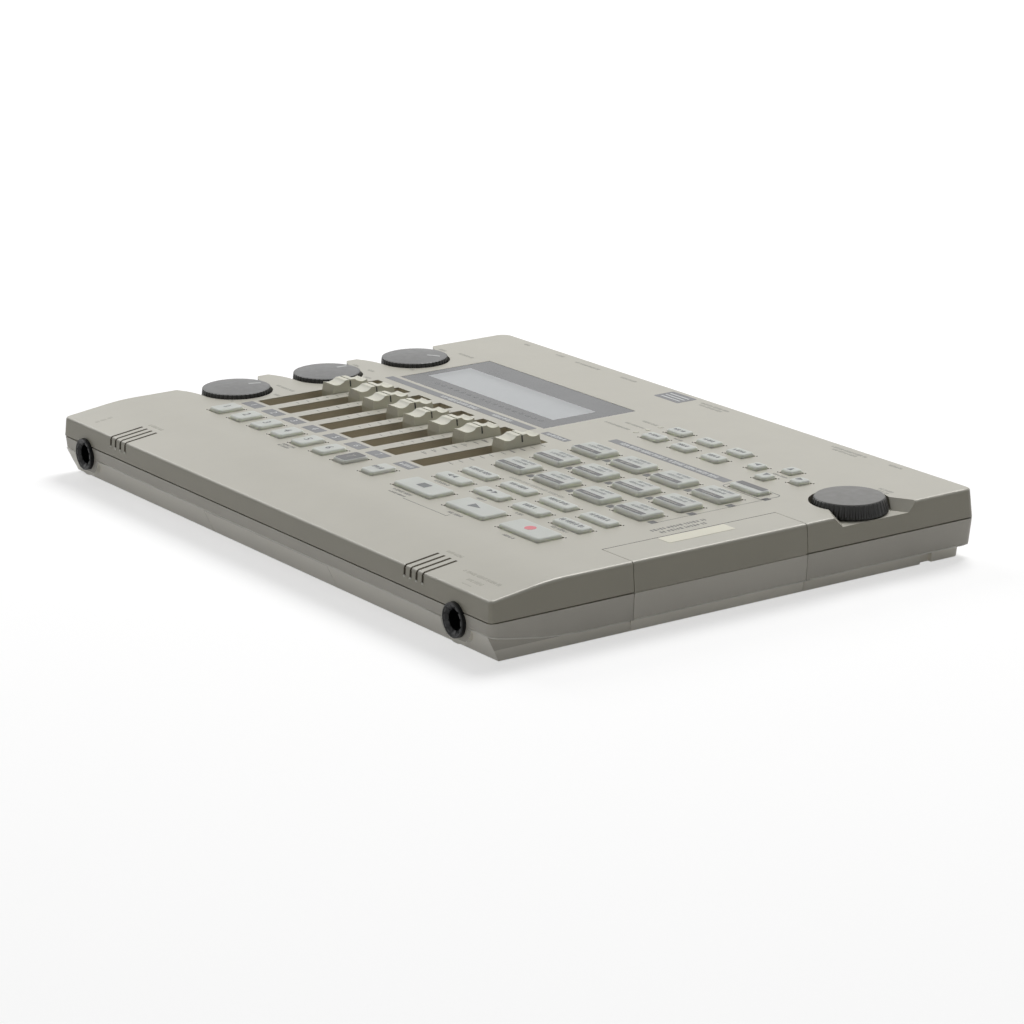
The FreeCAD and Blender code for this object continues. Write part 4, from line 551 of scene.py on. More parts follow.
def caption(low_x, high_x, y, height, level, first=0):
    """A row of small upright marks that stands for a caption."""
    shapes = []
    place = low_x
    index = first
    while place < high_x - NARROWEST_MARK:
        step = MARK_WIDTHS[index % len(MARK_WIDTHS)] * height * MARK_SCALE
        width = min(step, high_x - place)
        tall = height * (1.0 if index % 3 else SHORT_MARK)
        shapes.append(bounds_plate(place, place + width, y - tall / 2, y + tall / 2, level,
                                   MARK_CORNER))
        place += width + height * (MARK_GAP if index % 5 else WORD_GAP)
        index += 1
    return shapes


def captions(level, height, rows):
    """Rows of small marks: (left, right, y) each."""
    shapes = []
    for index, (left, right, y) in enumerate(rows):
        shapes += caption(left, right, y, height, level, index * 3)
    return shapes


DIGIT_SHARE = 0.7


def digits(name, marks, material, body):
    """Plain numbers lying flat: (text, x, y, level, height) each."""
    shapes = []
    for text, x, y, level, height in marks:
        curve = bpy.data.curves.new(name, "FONT")
        curve.body = text
        curve.size = height / DIGIT_SHARE
        curve.align_x = "CENTER"
        curve.align_y = "CENTER"
        curve.resolution_u = 3
        curve.extrude = (PRINT_RISE + PRINT_SINK) / 2
        source = bpy.data.objects.new(name, curve)
        mesh = bpy.data.meshes.new_from_object(source)
        middle = level + (PRINT_RISE - PRINT_SINK) / 2
        shapes.append(([(p.co.x + x, p.co.y + y, p.co.z + middle) for p in mesh.vertices],
                       [list(face.vertices) for face in mesh.polygons]))
        bpy.data.objects.remove(source)
        bpy.data.curves.remove(curve)
        bpy.data.meshes.remove(mesh)
    return piece(name, shapes, material, body)


# Prints on the panel

SLOTS = (-93.8, -80.7, -67.6, -54.5, -41.4, -28.3, -15.2, 1.4)
TRACKS = SLOTS[:7]
LABEL_ROW = -37.0
COLUMNS = (24.85, 46.2, 67.55, 88.9)
FUNCTION_ROWS = (-9.5, 5.53, 20.56)

labels = [bounds_plate(x - 4.9, x + 4.4, LABEL_ROW - 2.3, LABEL_ROW + 2.3) for x in SLOTS]
labels += [bounds_plate(-99.0, -11.1, 19.5, 22.9), bounds_plate(-5.5, 8.2, 20.3, 23.3)]
labels += [bounds_plate(15.6, 77.4, 32.5, 36.1)]
piece("print_labels", labels, "ink_grey", "base")
numbers = [(str(i + 1), x - 0.2, LABEL_ROW, ON_PRINT, 2.6) for i, x in enumerate(TRACKS)]
digits("print_track_numbers", numbers, "ink_white", "base")
LABEL_WORDS = (
    (-2.0, 4.6, LABEL_ROW), (-65.6, -43.0, 21.2), (-34.5, -23.5, 21.2), (-3.5, 6.6, 21.8),
    (20.7, 45.0, 34.3), (47.0, 72.4, 34.3),
)
piece("print_label_words", captions(ON_PRINT, 1.7, LABEL_WORDS), "ink_white", "base")

small_labels = [bounds_plate(x + 8.9, x + 11.6, y - 3.7, y - 1.1)
                for x in COLUMNS for y in FUNCTION_ROWS]
small_labels.append(bounds_plate(98.9, 101.3, 30.0, 32.6))
piece("print_small_labels", small_labels, "ink_dark", "base")

# The frame round the last function key, two joining lines, and the scales beside the slots
MARGIN_LINE, FRAME_MIDDLE = 100.2, (89.8, 33.65)
SCALE_START, SCALE_STEP, SCALE_OFFSET = -23.5, 4.0, 6.55
LONG_TICK, SHORT_TICK, TICK = 2.0, 1.3, 0.26
LONG_TICKS = (2, 7)
MASTER_TICKS = (-24.2, -20.3, -16.0, -12.0, -8.4, -3.7, -0.1, 3.9, 7.9, 12.0)
MASTER_HEAVY = (-0.1, 3.9)
lines = [ring_plate(rounded(*FRAME_MIDDLE, 20.4, 7.4, 1.6), rounded(*FRAME_MIDDLE, 21.1, 8.1, 1.9),
                    PANEL)]
lines += stroke([(MARGIN_LINE, -11.6), (MARGIN_LINE, 31.0)], 0.22, PANEL)
lines += stroke([(32.2, -58.4), (56.0, -58.4), (56.0, -57.0)], 0.25, PANEL)
for x in TRACKS:
    for step in range(10):
        wide = LONG_TICK if step in LONG_TICKS else SHORT_TICK
        y = SCALE_START + SCALE_STEP * step
        middle = x + SCALE_OFFSET
        lines += stroke([(middle - wide / 2, y), (middle + wide / 2, y)], TICK, PANEL)
for y in MASTER_TICKS:
    heavy = 0.7 if y in MASTER_HEAVY else 0.32
    lines += stroke([(-9.6, y), (-6.6, y)], heavy, PANEL)
    lines += stroke([(6.6, y), (8.9, y)], heavy, PANEL)
piece("print_fine_lines", lines, "ink_line", "base")

# Captions: left and right end, and place along Y
CLEAR_ROWS = (
    (21.3, 31.2, -54.8), (52.9, 60.0, -55.3), (82.9, 88.9, -55.6), (21.2, 28.7, -39.2),
    (45.5, 49.8, -39.6), (66.2, 69.6, -39.3), (84.4, 92.5, -38.9), (-45.2, -38.0, -54.9),
    (-45.2, -38.4, -56.7),
)
SMALL_ROWS = ((22.3, 31.4, -57.2), (26.0, 30.4, 52.0), (78.4, 85.4, 51.6))
UPRIGHT_ROWS = ((-17.8, 2.7, 106.3), (-16.5, 0.6, 109.3))
small = captions(PANEL, 1.3, CLEAR_ROWS) + captions(PANEL, 1.0, SMALL_ROWS)
for low, high, x in UPRIGHT_ROWS:
    turned = caption(low, high, x, 1.7, PANEL, int(x))
    small += [([(b, a, c) for a, b, c in points], faces) for points, faces in turned]
piece("print_captions", small, "ink_line", "base")

FAINT_ROWS = (
    (-4.8, 8.3, 46.5), (0.2, 10.1, 51.4), (2.2, 10.0, 57.0), (32.0, 61.4, -17.9),
    (-110.2, -107.0, 87.2), (-90.4, -85.9, 87.2), (-77.5, -63.1, 86.4), (-50.2, -40.8, 86.4),
    (-5.1, 10.1, 87.2), (-3.6, 8.4, 85.2), (64.3, 81.3, 87.4), (67.0, 79.0, 85.4),
    (92.6, 99.0, 87.6), (111.4, 118.0, 67.6), (112.4, 117.6, 65.6), (-105.1, -102.3, -40.2),
    (-112.5, -101.6, -16.4), (-102.4, -99.3, -23.6), (-112.0, -108.6, 21.0),
    (-104.0, -100.8, 14.7), (-121.6, -118.0, 20.8), (-104.2, -101.3, 33.4),
    (-122.4, -118.0, 58.2), (-112.5, -104.2, 60.2),
)
piece("print_faint_rows", captions(PANEL, 1.3, FAINT_ROWS), "ink_faint", "base")

rear_label = bounds_plate(-23.2, -9.5, 80.3, 88.8, PANEL, 0.6)
piece("print_rear_label", [rear_label], "ink_grey", "base")
rear_rows = [bounds_plate(-21.6, -11.2, 86.2 - 2.0 * row, 86.8 - 2.0 * row, ON_PRINT, 0.1)
             for row in range(3)]
piece("print_rear_rows", rear_rows, "ink_white", "base")


# The window, the screen's glass and the card cover's joint

WINDOW_TOP = 22.3
MARK_START, MARK_PITCH, MARK_LENGTH = -82.0, 3.9, 1.7
window_marks = []
for step in range(17):
    x = MARK_START + MARK_PITCH * step
    window_marks.append(bounds_plate(x, x + MARK_LENGTH, 29.3, 30.5, WINDOW_TOP, 0.05))
piece("window_marks", window_marks, "ink_window", "base")

GLASS_LOW, GLASS_THICKNESS = 20.25, 0.85
glass = plate(rounded(-54.8, 42.5, 78.2, 20.0, 0.6), GLASS_LOW, GLASS_THICKNESS, 0.0)
piece("screen_glass", [glass], "screen", "base")

COVER_JOINT, COVER_LOW, COVER_HIGH = 112.92, -40.8, 24.6
joint_line = stroke([(COVER_JOINT, COVER_LOW), (COVER_JOINT, COVER_HIGH)], 0.24, PANEL)
piece("card_cover_joint", joint_line, "groove", "base")


# The keys: dark dots of painted shade at two corners of each opening, then the prints on their tops

TRACK_ROW, TRANSPORT_ROW, LOCATE_ROW, EDIT_ROW = -47.75, -47.8, -34.4, -24.25
TRANSPORT_COLUMNS = (27.7, 56.8, 85.9)
UTILITY_COLUMNS, UTILITY_ROWS = (22.65, 38.55, 54.45), (46.45, 56.85)
CURSORS = ((70.5, 51.3), (81.25, 45.85), (81.25, 56.75), (92.0, 51.3))
UTILITY_PLACES = [(x, y) for x in UTILITY_COLUMNS for y in UTILITY_ROWS]
DOT_RADIUS, DOT_HEIGHT, DOT_STEPS = 0.25, 0.2, 10
DOT_ASIDE, DOT_AHEAD = 0.3, 0.1


def pin(x, y, radius, height, level, steps):
    """A small round-topped dot that stands on a level."""
    points = [(x, y, level + height)]
    for share, lift in ((0.6, 0.8), (0.95, 0.35), (1.0, -0.1)):
        points += [(x + radius * share * c, y + radius * share * s, level + height * lift)
                   for c, s in circle(steps)]
    faces = [[0, 1 + step, 1 + (step + 1) % steps] for step in range(steps)]
    faces += ring_walls(3, steps, 1)
    faces.append([1 + 2 * steps + step for step in range(steps)])
    return points, faces


def key_corners():
    """Dots of painted shade at two corners of each key's opening: keys are (x, y, width, depth)."""
    keys = [(x, TRACK_ROW, 7.6, 10.5) for x in SLOTS]
    keys += [(x, TRANSPORT_ROW, 21.7, 10.2) for x in TRANSPORT_COLUMNS]
    for x in COLUMNS:
        keys += [(x, LOCATE_ROW, 15.4, 6.1), (x, EDIT_ROW, 15.4, 6.1)]
        keys += [(x, y, 15.4, 9.95) for y in FUNCTION_ROWS]
    keys += [(x, y, 9.45, 6.1) for x, y in UTILITY_PLACES]
    keys += [(x, y, 5.9, 5.9) for x, y in CURSORS]
    shapes = []
    for x, y, width, depth in keys:
        for end in (-1, 1):
            shapes.append(pin(x + end * (width / 2 + DOT_ASIDE), y + end * (depth / 2 + DOT_AHEAD),
                              DOT_RADIUS, DOT_HEIGHT, PANEL, DOT_STEPS))
    return shapes


piece("key_corner_shadows", key_corners(), "groove", "base")

BACK, UP, DOWN = math.pi, math.pi / 2, -math.pi / 2
key_marks = {
    "stop_key": [bounds_plate(25.2, 29.8, -49.0, -45.8, KEY_TOP, 0.1)],
    "play_key": [triangle(56.6, -47.7, 5.1, 3.4, KEY_TOP)],
    "locate_key_1": [triangle(x, -34.2, 2.2, 2.0, KEY_TOP, BACK) for x in (22.2, 24.8)],
    "locate_key_2": [triangle(x, -34.2, 2.2, 2.0, KEY_TOP) for x in (45.0, 47.6)],
    "locate_key_3": caption(63.4, 69.6, -34.2, 1.7, KEY_TOP, 2),
    "locate_key_4": caption(82.8, 94.0, -34.2, 1.8, KEY_TOP, 4),
    "edit_keys": captions(KEY_TOP, 1.6, ((18.6, 29.8, -24.0), (41.4, 50.0, -24.0),
                                         (62.4, 71.8, -24.0), (84.0, 93.8, -24.0))),
    "cursor_keys": [triangle(x, y, 2.4, 2.2, KEY_TOP, turn) for x, y, turn in (
        (70.3, 51.5, BACK), (81.2, 56.7, UP), (81.2, 46.2, DOWN), (92.0, 51.5, 0.0))],
    "utility_keys": captions(KEY_TOP, 1.5, [(x - 2.8, x + 2.8, y) for x, y in UTILITY_PLACES]),
}
for node_name, shapes in key_marks.items():
    piece(f"{node_name}_mark", shapes, "ink_key", node_name)
utility_bar = bounds_plate(82.4, 95.6, 33.2, 35.9, KEY_TOP, 0.15)
piece("utility_keys_bar", [utility_bar], "ink_dark", "utility_keys")
record_dot = disc(85.5, -47.5, 1.9, KEY_TOP)
piece("record_key_mark", [record_dot], "ink_red", "record_key")
dark_field = plate(rounded(TRACKS[6], TRACK_ROW, 5.9, 8.6, 0.9), KEY_TOP)
piece("track_key_7_field", [dark_field], "ink_dark", "track_key_7")

MARK_ROW = -47.7
for number, x in enumerate(TRACKS, start=1):
    node_name = f"track_key_{number}"
    on_field = number == 7
    level = KEY_TOP + PRINT_RISE if on_field else KEY_TOP
    digits(f"{node_name}_mark", [(str(number), x, MARK_ROW, level, 3.0)],
           "ink_faint" if on_field else "ink_key", node_name)
master_mark = caption(SLOTS[7] - 2.6, SLOTS[7] + 2.6, MARK_ROW, 2.0, KEY_TOP, 2)
piece("track_key_8_mark", master_mark, "ink_key", "track_key_8")

for number, y in enumerate(FUNCTION_ROWS, start=1):
    node_name = f"function_keys_{number}"
    bars = [bounds_plate(x - 6.3, x + 6.3, y - 3.9, y - 1.7, HIGH_KEY_TOP, 0.15) for x in COLUMNS]
    rows = [(x - 4.2, x + 3.4, y + 0.7) for x in COLUMNS]
    rows += [(x - 2.4, x + 4.8, y + 2.9) for x in COLUMNS]
    names = [(x - 3.4, x + 3.0, y - 2.8) for x in COLUMNS]
    piece(f"{node_name}_bars", bars, "ink_dark", node_name)
    piece(f"{node_name}_words", captions(HIGH_KEY_TOP, 1.2, rows), "ink_soft", node_name)
    piece(f"{node_name}_names", captions(HIGH_KEY_TOP + PRINT_RISE, 1.1, names), "ink_faint",
          node_name)


# Lines on the fader caps

CAP_FOOT, CAP_TOP, CAP_FOOT_HALF, CAP_TOP_HALF = 22.35, 26.3, 3.65, 3.1
CAP_LINE_LOW, CAP_LINE_HIGH, CAP_LINE_HALF = 23.9, 25.9, 0.25
CAP_LINE_RISE, CAP_LINE_SINK = 0.05, -0.12


def cap_half(level):
    """Half the width of a cap at a height."""
    share = (level - CAP_FOOT) / (CAP_TOP - CAP_FOOT)
    return CAP_FOOT_HALF + (CAP_TOP_HALF - CAP_FOOT_HALF) * share


def cap_side(side):
    """The line's section at one side of a cap: outside going up, then inside going down."""
    corners = ((CAP_LINE_LOW, CAP_LINE_RISE, 0.0), (CAP_LINE_HIGH, CAP_LINE_RISE, 0.08),
               (CAP_LINE_HIGH, CAP_LINE_SINK, -0.06), (CAP_LINE_LOW, CAP_LINE_SINK, 0.0))
    return [(side * (cap_half(level) + lift), level + drop) for level, lift, drop in corners]


left, right = cap_side(-1), cap_side(1)
cap_section = left[:2] + [right[1], right[0], right[3], right[2]] + left[2:]
for number in range(1, 9):
    node_name = f"fader_cap_{number}"
    low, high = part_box(node_name)
    x, y = ((low.x + high.x) / 2 / MM, (low.y + high.y) / 2 / MM)
    inlay = extruded([(x + a, z) for a, z in cap_section], y - CAP_LINE_HALF, y + CAP_LINE_HALF)
    piece(f"{node_name}_line", [inlay], "inlay", node_name)


# Pointers on the knobs, and the sticker

KNOB_X = -114.5
KNOB_ROWS = (-31.7, 5.25, 42.2)
KNOB_TURNS = (82.0, 99.0, 44.0)
KNOB_TOP, KNOB_DOME, KNOB_TOP_RADIUS = 24.35, 0.55, 11.15
POINTER_START, POINTER_LENGTH, POINTER_HALF, POINTER_STEPS = 4.6, 4.6, 0.6, 8
POINTER_RISE, POINTER_SINK = 0.04, -0.05


def knob_height(reach):
    """The domed top's height at a distance from its middle."""
    return KNOB_TOP - KNOB_DOME * (reach / KNOB_TOP_RADIUS) ** 2


for number, (row, turn) in enumerate(zip(KNOB_ROWS, KNOB_TURNS), start=1):
    angle = math.radians(turn)
    along = Vector((math.cos(angle), math.sin(angle)))
    side = Vector((-along.y, along.x)) * POINTER_HALF
    centre = Vector((KNOB_X, row))
    points = []
    for step in range(POINTER_STEPS + 1):
        reach = POINTER_START + POINTER_LENGTH * step / POINTER_STEPS
        spot = centre + along * reach
        height = knob_height(reach)
        for offset, lift in ((-1, POINTER_SINK), (1, POINTER_SINK), (1, POINTER_RISE),
                             (-1, POINTER_RISE)):
            points.append((*(spot + side * offset), height + lift))
    piece(f"knob_{number}_pointer", [lofted(points, 4)], "pointer", f"knob_{number}")

sticker = plate(rounded(116.55, -8.3, 5.9, 25.0, 0.4), PANEL, 0.06)
piece("card_cover_sticker", [sticker], "sticker", "card_cover")


# Jacks and line outputs

FRONT_JACKS, FRONT_JACK_HEIGHT, FRONT_FACE = (110.8, -113.0), 9.8, -93.0
REAR_JACKS, REAR_JACK_HEIGHT, REAR_FACE = (-104.0, -78.0), 12.8, 93.0
LINE_OUTS, LINE_OUT_HEIGHT = (-36.0, -22.0), 11.2
RIBS = 12
# A rib's inner and outer end: distance from the axis, depth behind the face, half width
RIB_ENDS = ((3.25, 0.78, 0.24), (4.35, -0.04, 0.34))
RIB_RISE, RIB_SINK = 0.16, -0.25
EDGE_RADIUS, EDGE_THICKNESS, EDGE_INSET = 4.95, 0.22, 0.05


def tube(x, y1, y2, z, inner, outer, steps=32):
    """A ring of metal along Y."""
    points, faces = [], []
    for y in (y1, y2):
        for radius in (inner, outer):
            points += [(x + radius * c, y, z + radius * s) for c, s in circle(steps)]
    for step in range(steps):
        after = (step + 1) % steps
        for first, second in ((0, 1), (1, 3), (3, 2), (2, 0)):
            faces.append([first * steps + step, first * steps + after,
                          second * steps + after, second * steps + step])
    return points, faces


def torus(x, y, z, reach, thick, steps=40, around=8):
    """A round wire ring about an axis along Y."""
    points, faces = [], []
    for turn_c, turn_s in circle(steps):
        for c, s in circle(around):
            radius = reach + thick * c
            points.append((x + radius * turn_c, y + thick * s, z + radius * turn_s))
    for step in range(steps):
        after = (step + 1) % steps
        for part in range(around):
            other = (part + 1) % around
            faces.append([step * around + part, step * around + other,
                          after * around + other, after * around + part])
    return points, faces


def flare(x, y, z, out):
    """The ribs and the rolled edge round a jack's mouth; `out` is the way that it faces."""
    shapes = []
    for c, s in circle(RIBS, 0.5):
        points = []
        for reach, deep, wide in RIB_ENDS:
            for end, lift in ((-1, RIB_SINK), (1, RIB_SINK), (1, RIB_RISE), (-1, RIB_RISE)):
                points.append((x + c * reach - s * wide * end, y + out * (lift - deep),
                               z + s * reach + c * wide * end))
        shapes.append((points, [[0, 1, 2, 3], [7, 6, 5, 4]] + ring_walls(2, 4)))
    shapes.append(torus(x, y - out * EDGE_INSET, z, EDGE_RADIUS, EDGE_THICKNESS))
    return shapes


jack_rings, front_flares, rear_flares = [], [], []
for x in FRONT_JACKS:
    jack_rings.append(tube(x, -84.0, -83.2, FRONT_JACK_HEIGHT, 2.6, 3.3))
    jack_rings.append(tube(x, -76.0, -74.5, FRONT_JACK_HEIGHT, 2.4, 3.3))
    front_flares += flare(x, FRONT_FACE, FRONT_JACK_HEIGHT, -1)
for x in REAR_JACKS:
    rear_flares += flare(x, REAR_FACE, REAR_JACK_HEIGHT, 1)
piece("front_jack_rings", jack_rings, "steel", "base", True)
piece("front_jack_flares", front_flares, "black_plastic", "base")
piece("rear_jack_flares", rear_flares, "black_plastic", "base")
line_out_rings = [tube(x, 90.6, 91.6, LINE_OUT_HEIGHT, 2.6, 4.0) for x in LINE_OUTS]
piece("line_out_rings", line_out_rings, "brass", "base", True)


# A painted highlight: a pale bead along the band's lower edge

# The band's lower edge: its height at the side, where it starts to rise and how, and at the front
BAND_LOW, BAND_BEND, BAND_RADIUS, BAND_FRONT = 4.4, -53.0, 169.0, 8.75
CORNER_X, CORNER_Y, CORNER_RADIUS = 124.0, -87.0, 4.9
BEAD = 0.28
FAR = 200


def on_surface(node, origin, direction):
    """Where a ray meets a node's surface."""
    hit, place, _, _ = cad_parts[node].ray_cast(Vector(origin) * MM, Vector(direction))
    if not hit:
        raise SystemExit(f"no surface of {node} at {origin}")
    return place / MM


def bead(path, thick, around=8):
    """A round strip along a line, closed at both ends."""
    points = []
    for index, spot in enumerate(path):
        before, after = path[max(0, index - 1)], path[min(len(path) - 1, index + 1)]
        along = (after - before).normalized()
        side = along.cross(Vector((0, 0, 1))).normalized()
        up = side.cross(along).normalized()
        points += [spot + side * thick * c + up * thick * s for c, s in circle(around)]
    return lofted(points, around)


def band_height(y):
    """The height of the band's lower edge at a place along the side."""
    ahead = max(0.0, BAND_BEND - y)
    return BAND_LOW + BAND_RADIUS - math.sqrt(BAND_RADIUS ** 2 - ahead ** 2)


def side_run(side, low, high, node, steps):
    """The edge along the right (1) or left (-1) side."""
    run = []
    for step in range(steps + 1):
        y = low + (high - low) * step / steps
        run.append(on_surface(node, (side * FAR, y, band_height(y)), (-side, 0, 0)))
    return run


def corner_run(side):
    """The edge round a front corner, from the front to the side."""
    run = []
    middle = Vector((side * CORNER_X, CORNER_Y, 0.0))
    for degrees in range(80, 0, -10):
        angle = math.radians(degrees)
        out = Vector((side * math.cos(angle), -math.sin(angle), 0.0))
        height = band_height((middle + out * CORNER_RADIUS).y)
        run.append(on_surface("bottom_shell", middle + out * 30 + Vector((0, 0, height)), -out))
    return run


def front_run(low, high, steps):
    """The edge along the front."""
    run = []
    for step in range(steps + 1):
        x = low + (high - low) * step / steps
        run.append(on_surface("bottom_shell", (x, -FAR, BAND_FRONT), (0, 1, 0)))
    return run


right = front_run(117.6, 123.0, 2) + corner_run(1) + side_run(1, -86.5, -42.2, "bottom_shell", 14)
left = front_run(-119.8, -123.0, 2) + corner_run(-1) + side_run(-1, -86.5, 88.0, "bottom_shell", 24)
runs = [front_run(-106.2, 104.0, 20), right, left, side_run(1, 26.0, 88.0, "bottom_shell", 6)]
piece("band_edge_highlight", [bead(run, BEAD) for run in runs], "painted_edge_highlight", "base",
      True)
cover_run = side_run(1, -40.4, 24.3, "card_cover", 6)
piece("card_cover_edge_highlight", [bead(cover_run, BEAD)], "painted_edge_highlight", "card_cover",
      True)


# The microphone slots: a dark strip of painted shadow in each, and a painted highlight on the lip
# at its foot

MIC_COLUMNS = (88.65, -90.6)
MIC_COUNT, MIC_PITCH, MIC_WIDTH = 4, 3.2, 0.8
MIC_TOP, MIC_LOW = -79.5, 16.6
MIC_ABOVE = (MIC_TOP - 0.05, -83.0, -86.0, -88.5, -90.0, -90.8)
MIC_AHEAD = (19.2, 18.6, 18.0, 17.3, MIC_LOW + 0.05)
STRIP_RISE, STRIP_SINK, STRIP_OVERLAP = 0.02, 0.7, 0.14
LIP_DROP = 0.35
LIP_PATH = ((-0.42, 0.1, 0.2), (-0.2, -0.06, -0.02), (0.2, -0.06, -0.02), (0.42, 0.1, 0.2))
LIP_AROUND = 6


def slot_profile(x):
    """The shell's surface along a slot, from the top down the front."""
    profile = [on_surface("top_shell", (x, y, 60), (0, 0, -1)) for y in MIC_ABOVE]
    return profile + [on_surface("top_shell", (x, -FAR, z), (0, 1, 0)) for z in MIC_AHEAD]


def cloth(profile, x):
    """A strip of painted shadow that follows the profile just over the surface and reaches into the
    slot.
    """
    outer, inner = [], []
    for index, spot in enumerate(profile):
        before, after = profile[max(0, index - 1)], profile[min(len(profile) - 1, index + 1)]
        along = (after - before).normalized()
        inward = Vector((0.0, -along.z, along.y))
        if inward.z > 0:
            inward = -inward
        outer.append(spot - inward * STRIP_RISE)
        inner.append(spot + inward * STRIP_SINK)
    outline = outer + inner[::-1]
    count = len(outline)
    half = MIC_WIDTH / 2 + STRIP_OVERLAP
    points = [(x + side, spot.y, spot.z) for side in (-half, half) for spot in outline]
    faces = []
    for index in range(len(profile) - 1):
        mirror = count - 1 - index
        faces.append([index, index + 1, mirror - 1, mirror])
        faces.append([count + mirror, count + mirror - 1, count + index + 1, count + index])
    return points, faces + ring_walls(2, count)


slot_strips, slot_lip_highlights = [], []
for middle in MIC_COLUMNS:
    profile = slot_profile(middle)
    for number in range(MIC_COUNT):
        x = middle + MIC_PITCH * (number - (MIC_COUNT - 1) / 2)
        slot_strips.append(cloth(profile, x))
        # Each lip gets a pale bead as a painted highlight.
        foot = on_surface("top_shell", (x, -FAR, MIC_LOW - LIP_DROP), (0, 1, 0))
        slot_lip_highlights.append(bead([foot + Vector(spot) for spot in LIP_PATH], BEAD, LIP_AROUND))
piece("microphone_slot_shadow", slot_strips, "painted_slot_shadow", "base")
piece("microphone_slot_lip_highlights", slot_lip_highlights, "painted_edge_highlight", "base", True)


# Raised marks on the sloping front of the panel, coloured darker than the paint as painted shade

SLOPE_PLACE, SLOPE_HEIGHT, SLOPE_FALL = -80.0, 21.04, 0.13


def on_slope(shapes):
    """Lifts flat shapes, made at level 0, onto the sloping front of the panel."""
    lifted = []
    for points, faces in shapes:
        raised_points = [(x, y, z + SLOPE_HEIGHT + SLOPE_FALL * (y - SLOPE_PLACE))
                         for x, y, z in points]
        lifted.append((raised_points, faces))
    return lifted


raised = captions(0.0, 1.4, ((101.7, 120.2, -82.3), (108.1, 115.6, -85.6)))
raised += caption(84.6, 93.0, -76.9, 1.3, 0.0, 2) + caption(-95.0, -86.4, -76.9, 1.3, 0.0, 5)
raised += stroke([(109.3, -88.3), (113.7, -88.3)], 0.3, 0.0)
for low, high in ((-87.6, -86.2), (-85.6, -83.6), (-82.9, -81.2)):
    raised.append(bounds_plate(-114.2, -112.8, low, high, 0.0, 0.2))
piece("raised_marks", on_slope(raised), "raised_mark_shade", "base")


# The underside and the rear: dark crosses of painted shade in the screw recesses, the battery
# cover's grip, the USB socket's tongue

SCREWS = ((74.0, -82.0), (-76.0, -82.0), (121.0, -50.0), (121.0, 84.0), (-121.0, 84.0),
          (30.0, 84.0))
SCREW_FACE, COVER_FACE = 0.8, 0.6
# Four arms, each with two far corners and the near one before the next arm
CROSS_REACHES = (1.35, 1.35, 0.42) * 4
# Each cross is painted shade in a screw head's recess.
crosses = []
for x, y in SCREWS:
    outline = []
    for step, reach in enumerate(CROSS_REACHES):
        angle = math.radians(30 * step)
        outline.append((x + reach * math.cos(angle), y + reach * math.sin(angle)))
    crosses.append(plate(outline, SCREW_FACE, 0.02, 0.03))
piece("screw_recess_shadows", crosses, "inlay", "base")

grips = [plate(rounded(2.6, -82.0 + 2.0 * row, 17.0 - 2.6 * row, 0.8, 0.38), COVER_FACE, 0.02, 0.35)
         for row in range(5)]
piece("battery_cover_grip", grips, "case_plastic", "battery_cover")

tongue_corners = [(x, y, z) for x in (8.2, 11.8) for y in (82.5, 90.6) for z in (10.9, 11.9)]
tongue_faces = [[0, 1, 3, 2], [4, 5, 7, 6], [0, 1, 5, 4], [2, 3, 7, 6], [0, 2, 6, 4], [1, 3, 7, 5]]
piece("usb_tongue", [(tongue_corners, tongue_faces)], "black_plastic", "base")


# Floor, light and camera

FLOOR_REACH, FLOOR_STEPS = 7.0, 64
FLOOR_GLOW = 0.61
WORLD_FILL = 0.07


def floor():
    """A pale disc that keeps the shadow; the camera and reflections see it nearly white."""
    mesh = bpy.data.meshes.new("floor")
    ring = [(FLOOR_REACH * c, FLOOR_REACH * s, 0.0) for c, s in circle(FLOOR_STEPS)]
    mesh.from_pydata(ring, [], [list(range(FLOOR_STEPS))])
    nodes = Nodes("pale_floor")
    tone = nodes.mix(nodes.noise(400, 2.0), linear(188, 188, 188), linear(192, 192, 192))
    nodes.set(Base_Color=tone, Roughness=0.9, Specular_IOR_Level=0.1)
    glow = nodes.add("ShaderNodeEmission")
    rays = nodes.add("ShaderNodeLightPath")
    seen = nodes.math("MAXIMUM", rays.outputs["Is Camera Ray"], rays.outputs["Is Glossy Ray"])
    seen = nodes.math("MAXIMUM", seen, rays.outputs["Is Transmission Ray"])
    nodes.link(nodes.math("MULTIPLY", seen, FLOOR_GLOW), glow.inputs["Strength"])
    both = nodes.add("ShaderNodeAddShader")
    nodes.link(nodes.shader.outputs[0], both.inputs[0])
    nodes.link(glow.outputs[0], both.inputs[1])
    nodes.link(both.outputs[0], nodes.tree.nodes["Material Output"].inputs["Surface"])
    mesh.materials.append(nodes.material)
    made = bpy.data.objects.new("floor", mesh)
    bpy.context.scene.collection.objects.link(made)


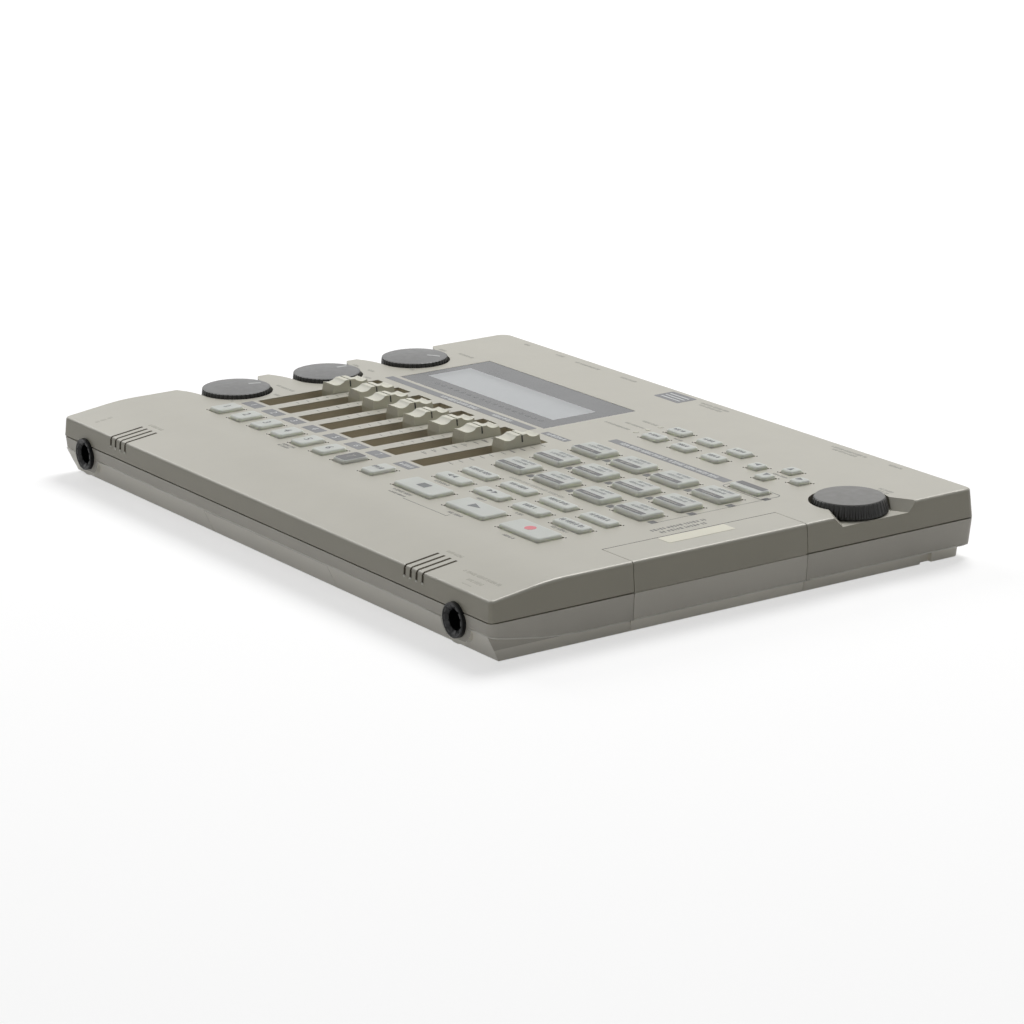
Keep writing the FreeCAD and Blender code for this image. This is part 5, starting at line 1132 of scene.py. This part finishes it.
def sky():
    """White to the camera, mirrors and glass; a weak fill for everything else."""
    world = bpy.data.worlds.new("studio")
    world.use_nodes = True
    bpy.context.scene.world = world
    tree = world.node_tree
    back = tree.nodes["Background"]
    back.inputs["Color"].default_value = (1.0, 1.0, 1.0, 1.0)
    rays = tree.nodes.new("ShaderNodeLightPath")
    seen = rays.outputs["Is Camera Ray"]
    for kind in ("Is Transmission Ray", "Is Glossy Ray"):
        larger = tree.nodes.new("ShaderNodeMath")
        larger.operation = "MAXIMUM"
        tree.links.new(seen, larger.inputs[0])
        tree.links.new(rays.outputs[kind], larger.inputs[1])
        seen = larger.outputs[0]
    level = tree.nodes.new("ShaderNodeMapRange")
    level.inputs["To Min"].default_value = WORLD_FILL
    level.inputs["To Max"].default_value = 1.0
    tree.links.new(seen, level.inputs["Value"])
    tree.links.new(level.outputs["Result"], back.inputs["Strength"])


def lamp(name, place, width, height, power):
    """A soft rectangular light that faces the origin."""
    data = bpy.data.lights.new(name, "AREA")
    data.shape = "RECTANGLE"
    data.size, data.size_y = width, height
    data.energy = power
    made = bpy.data.objects.new(name, data)
    bpy.context.scene.collection.objects.link(made)
    made.rotation_mode = "QUATERNION"
    made.rotation_quaternion = (-Vector(place)).to_track_quat("-Z", "Y")
    made.location = place


floor()
sky()
lamp("key_light", (-0.55, 1.0, 1.75), 1.0, 1.0, 33.0)
lamp("left_light", (-1.8, 0.0, 1.25), 1.2, 0.9, 9.5)
lamp("front_fill", (0.8, -1.4, 0.3), 1.2, 0.7, 1.6)

CAMERA_AXES = (
    (0.57014, -0.22711, 0.78954),
    (0.82151, 0.16739, -0.54508),
    (-0.00837, 0.95938, 0.28201),
)
CAMERA_PLACE = (0.94606, -0.64828, 0.33710)
LENS, SENSOR = 128.04, 36.0
camera_data = bpy.data.cameras.new("camera")
camera_data.lens = LENS
camera_data.sensor_width = SENSOR
camera_data.clip_start = 0.01
camera_data.clip_end = 30.0
camera = bpy.data.objects.new("camera", camera_data)
bpy.context.scene.collection.objects.link(camera)
camera.matrix_world = Matrix.Translation(CAMERA_PLACE) @ Matrix(CAMERA_AXES).to_4x4()
bpy.context.scene.camera = camera
bpy.context.scene.view_settings.view_transform = "Standard"
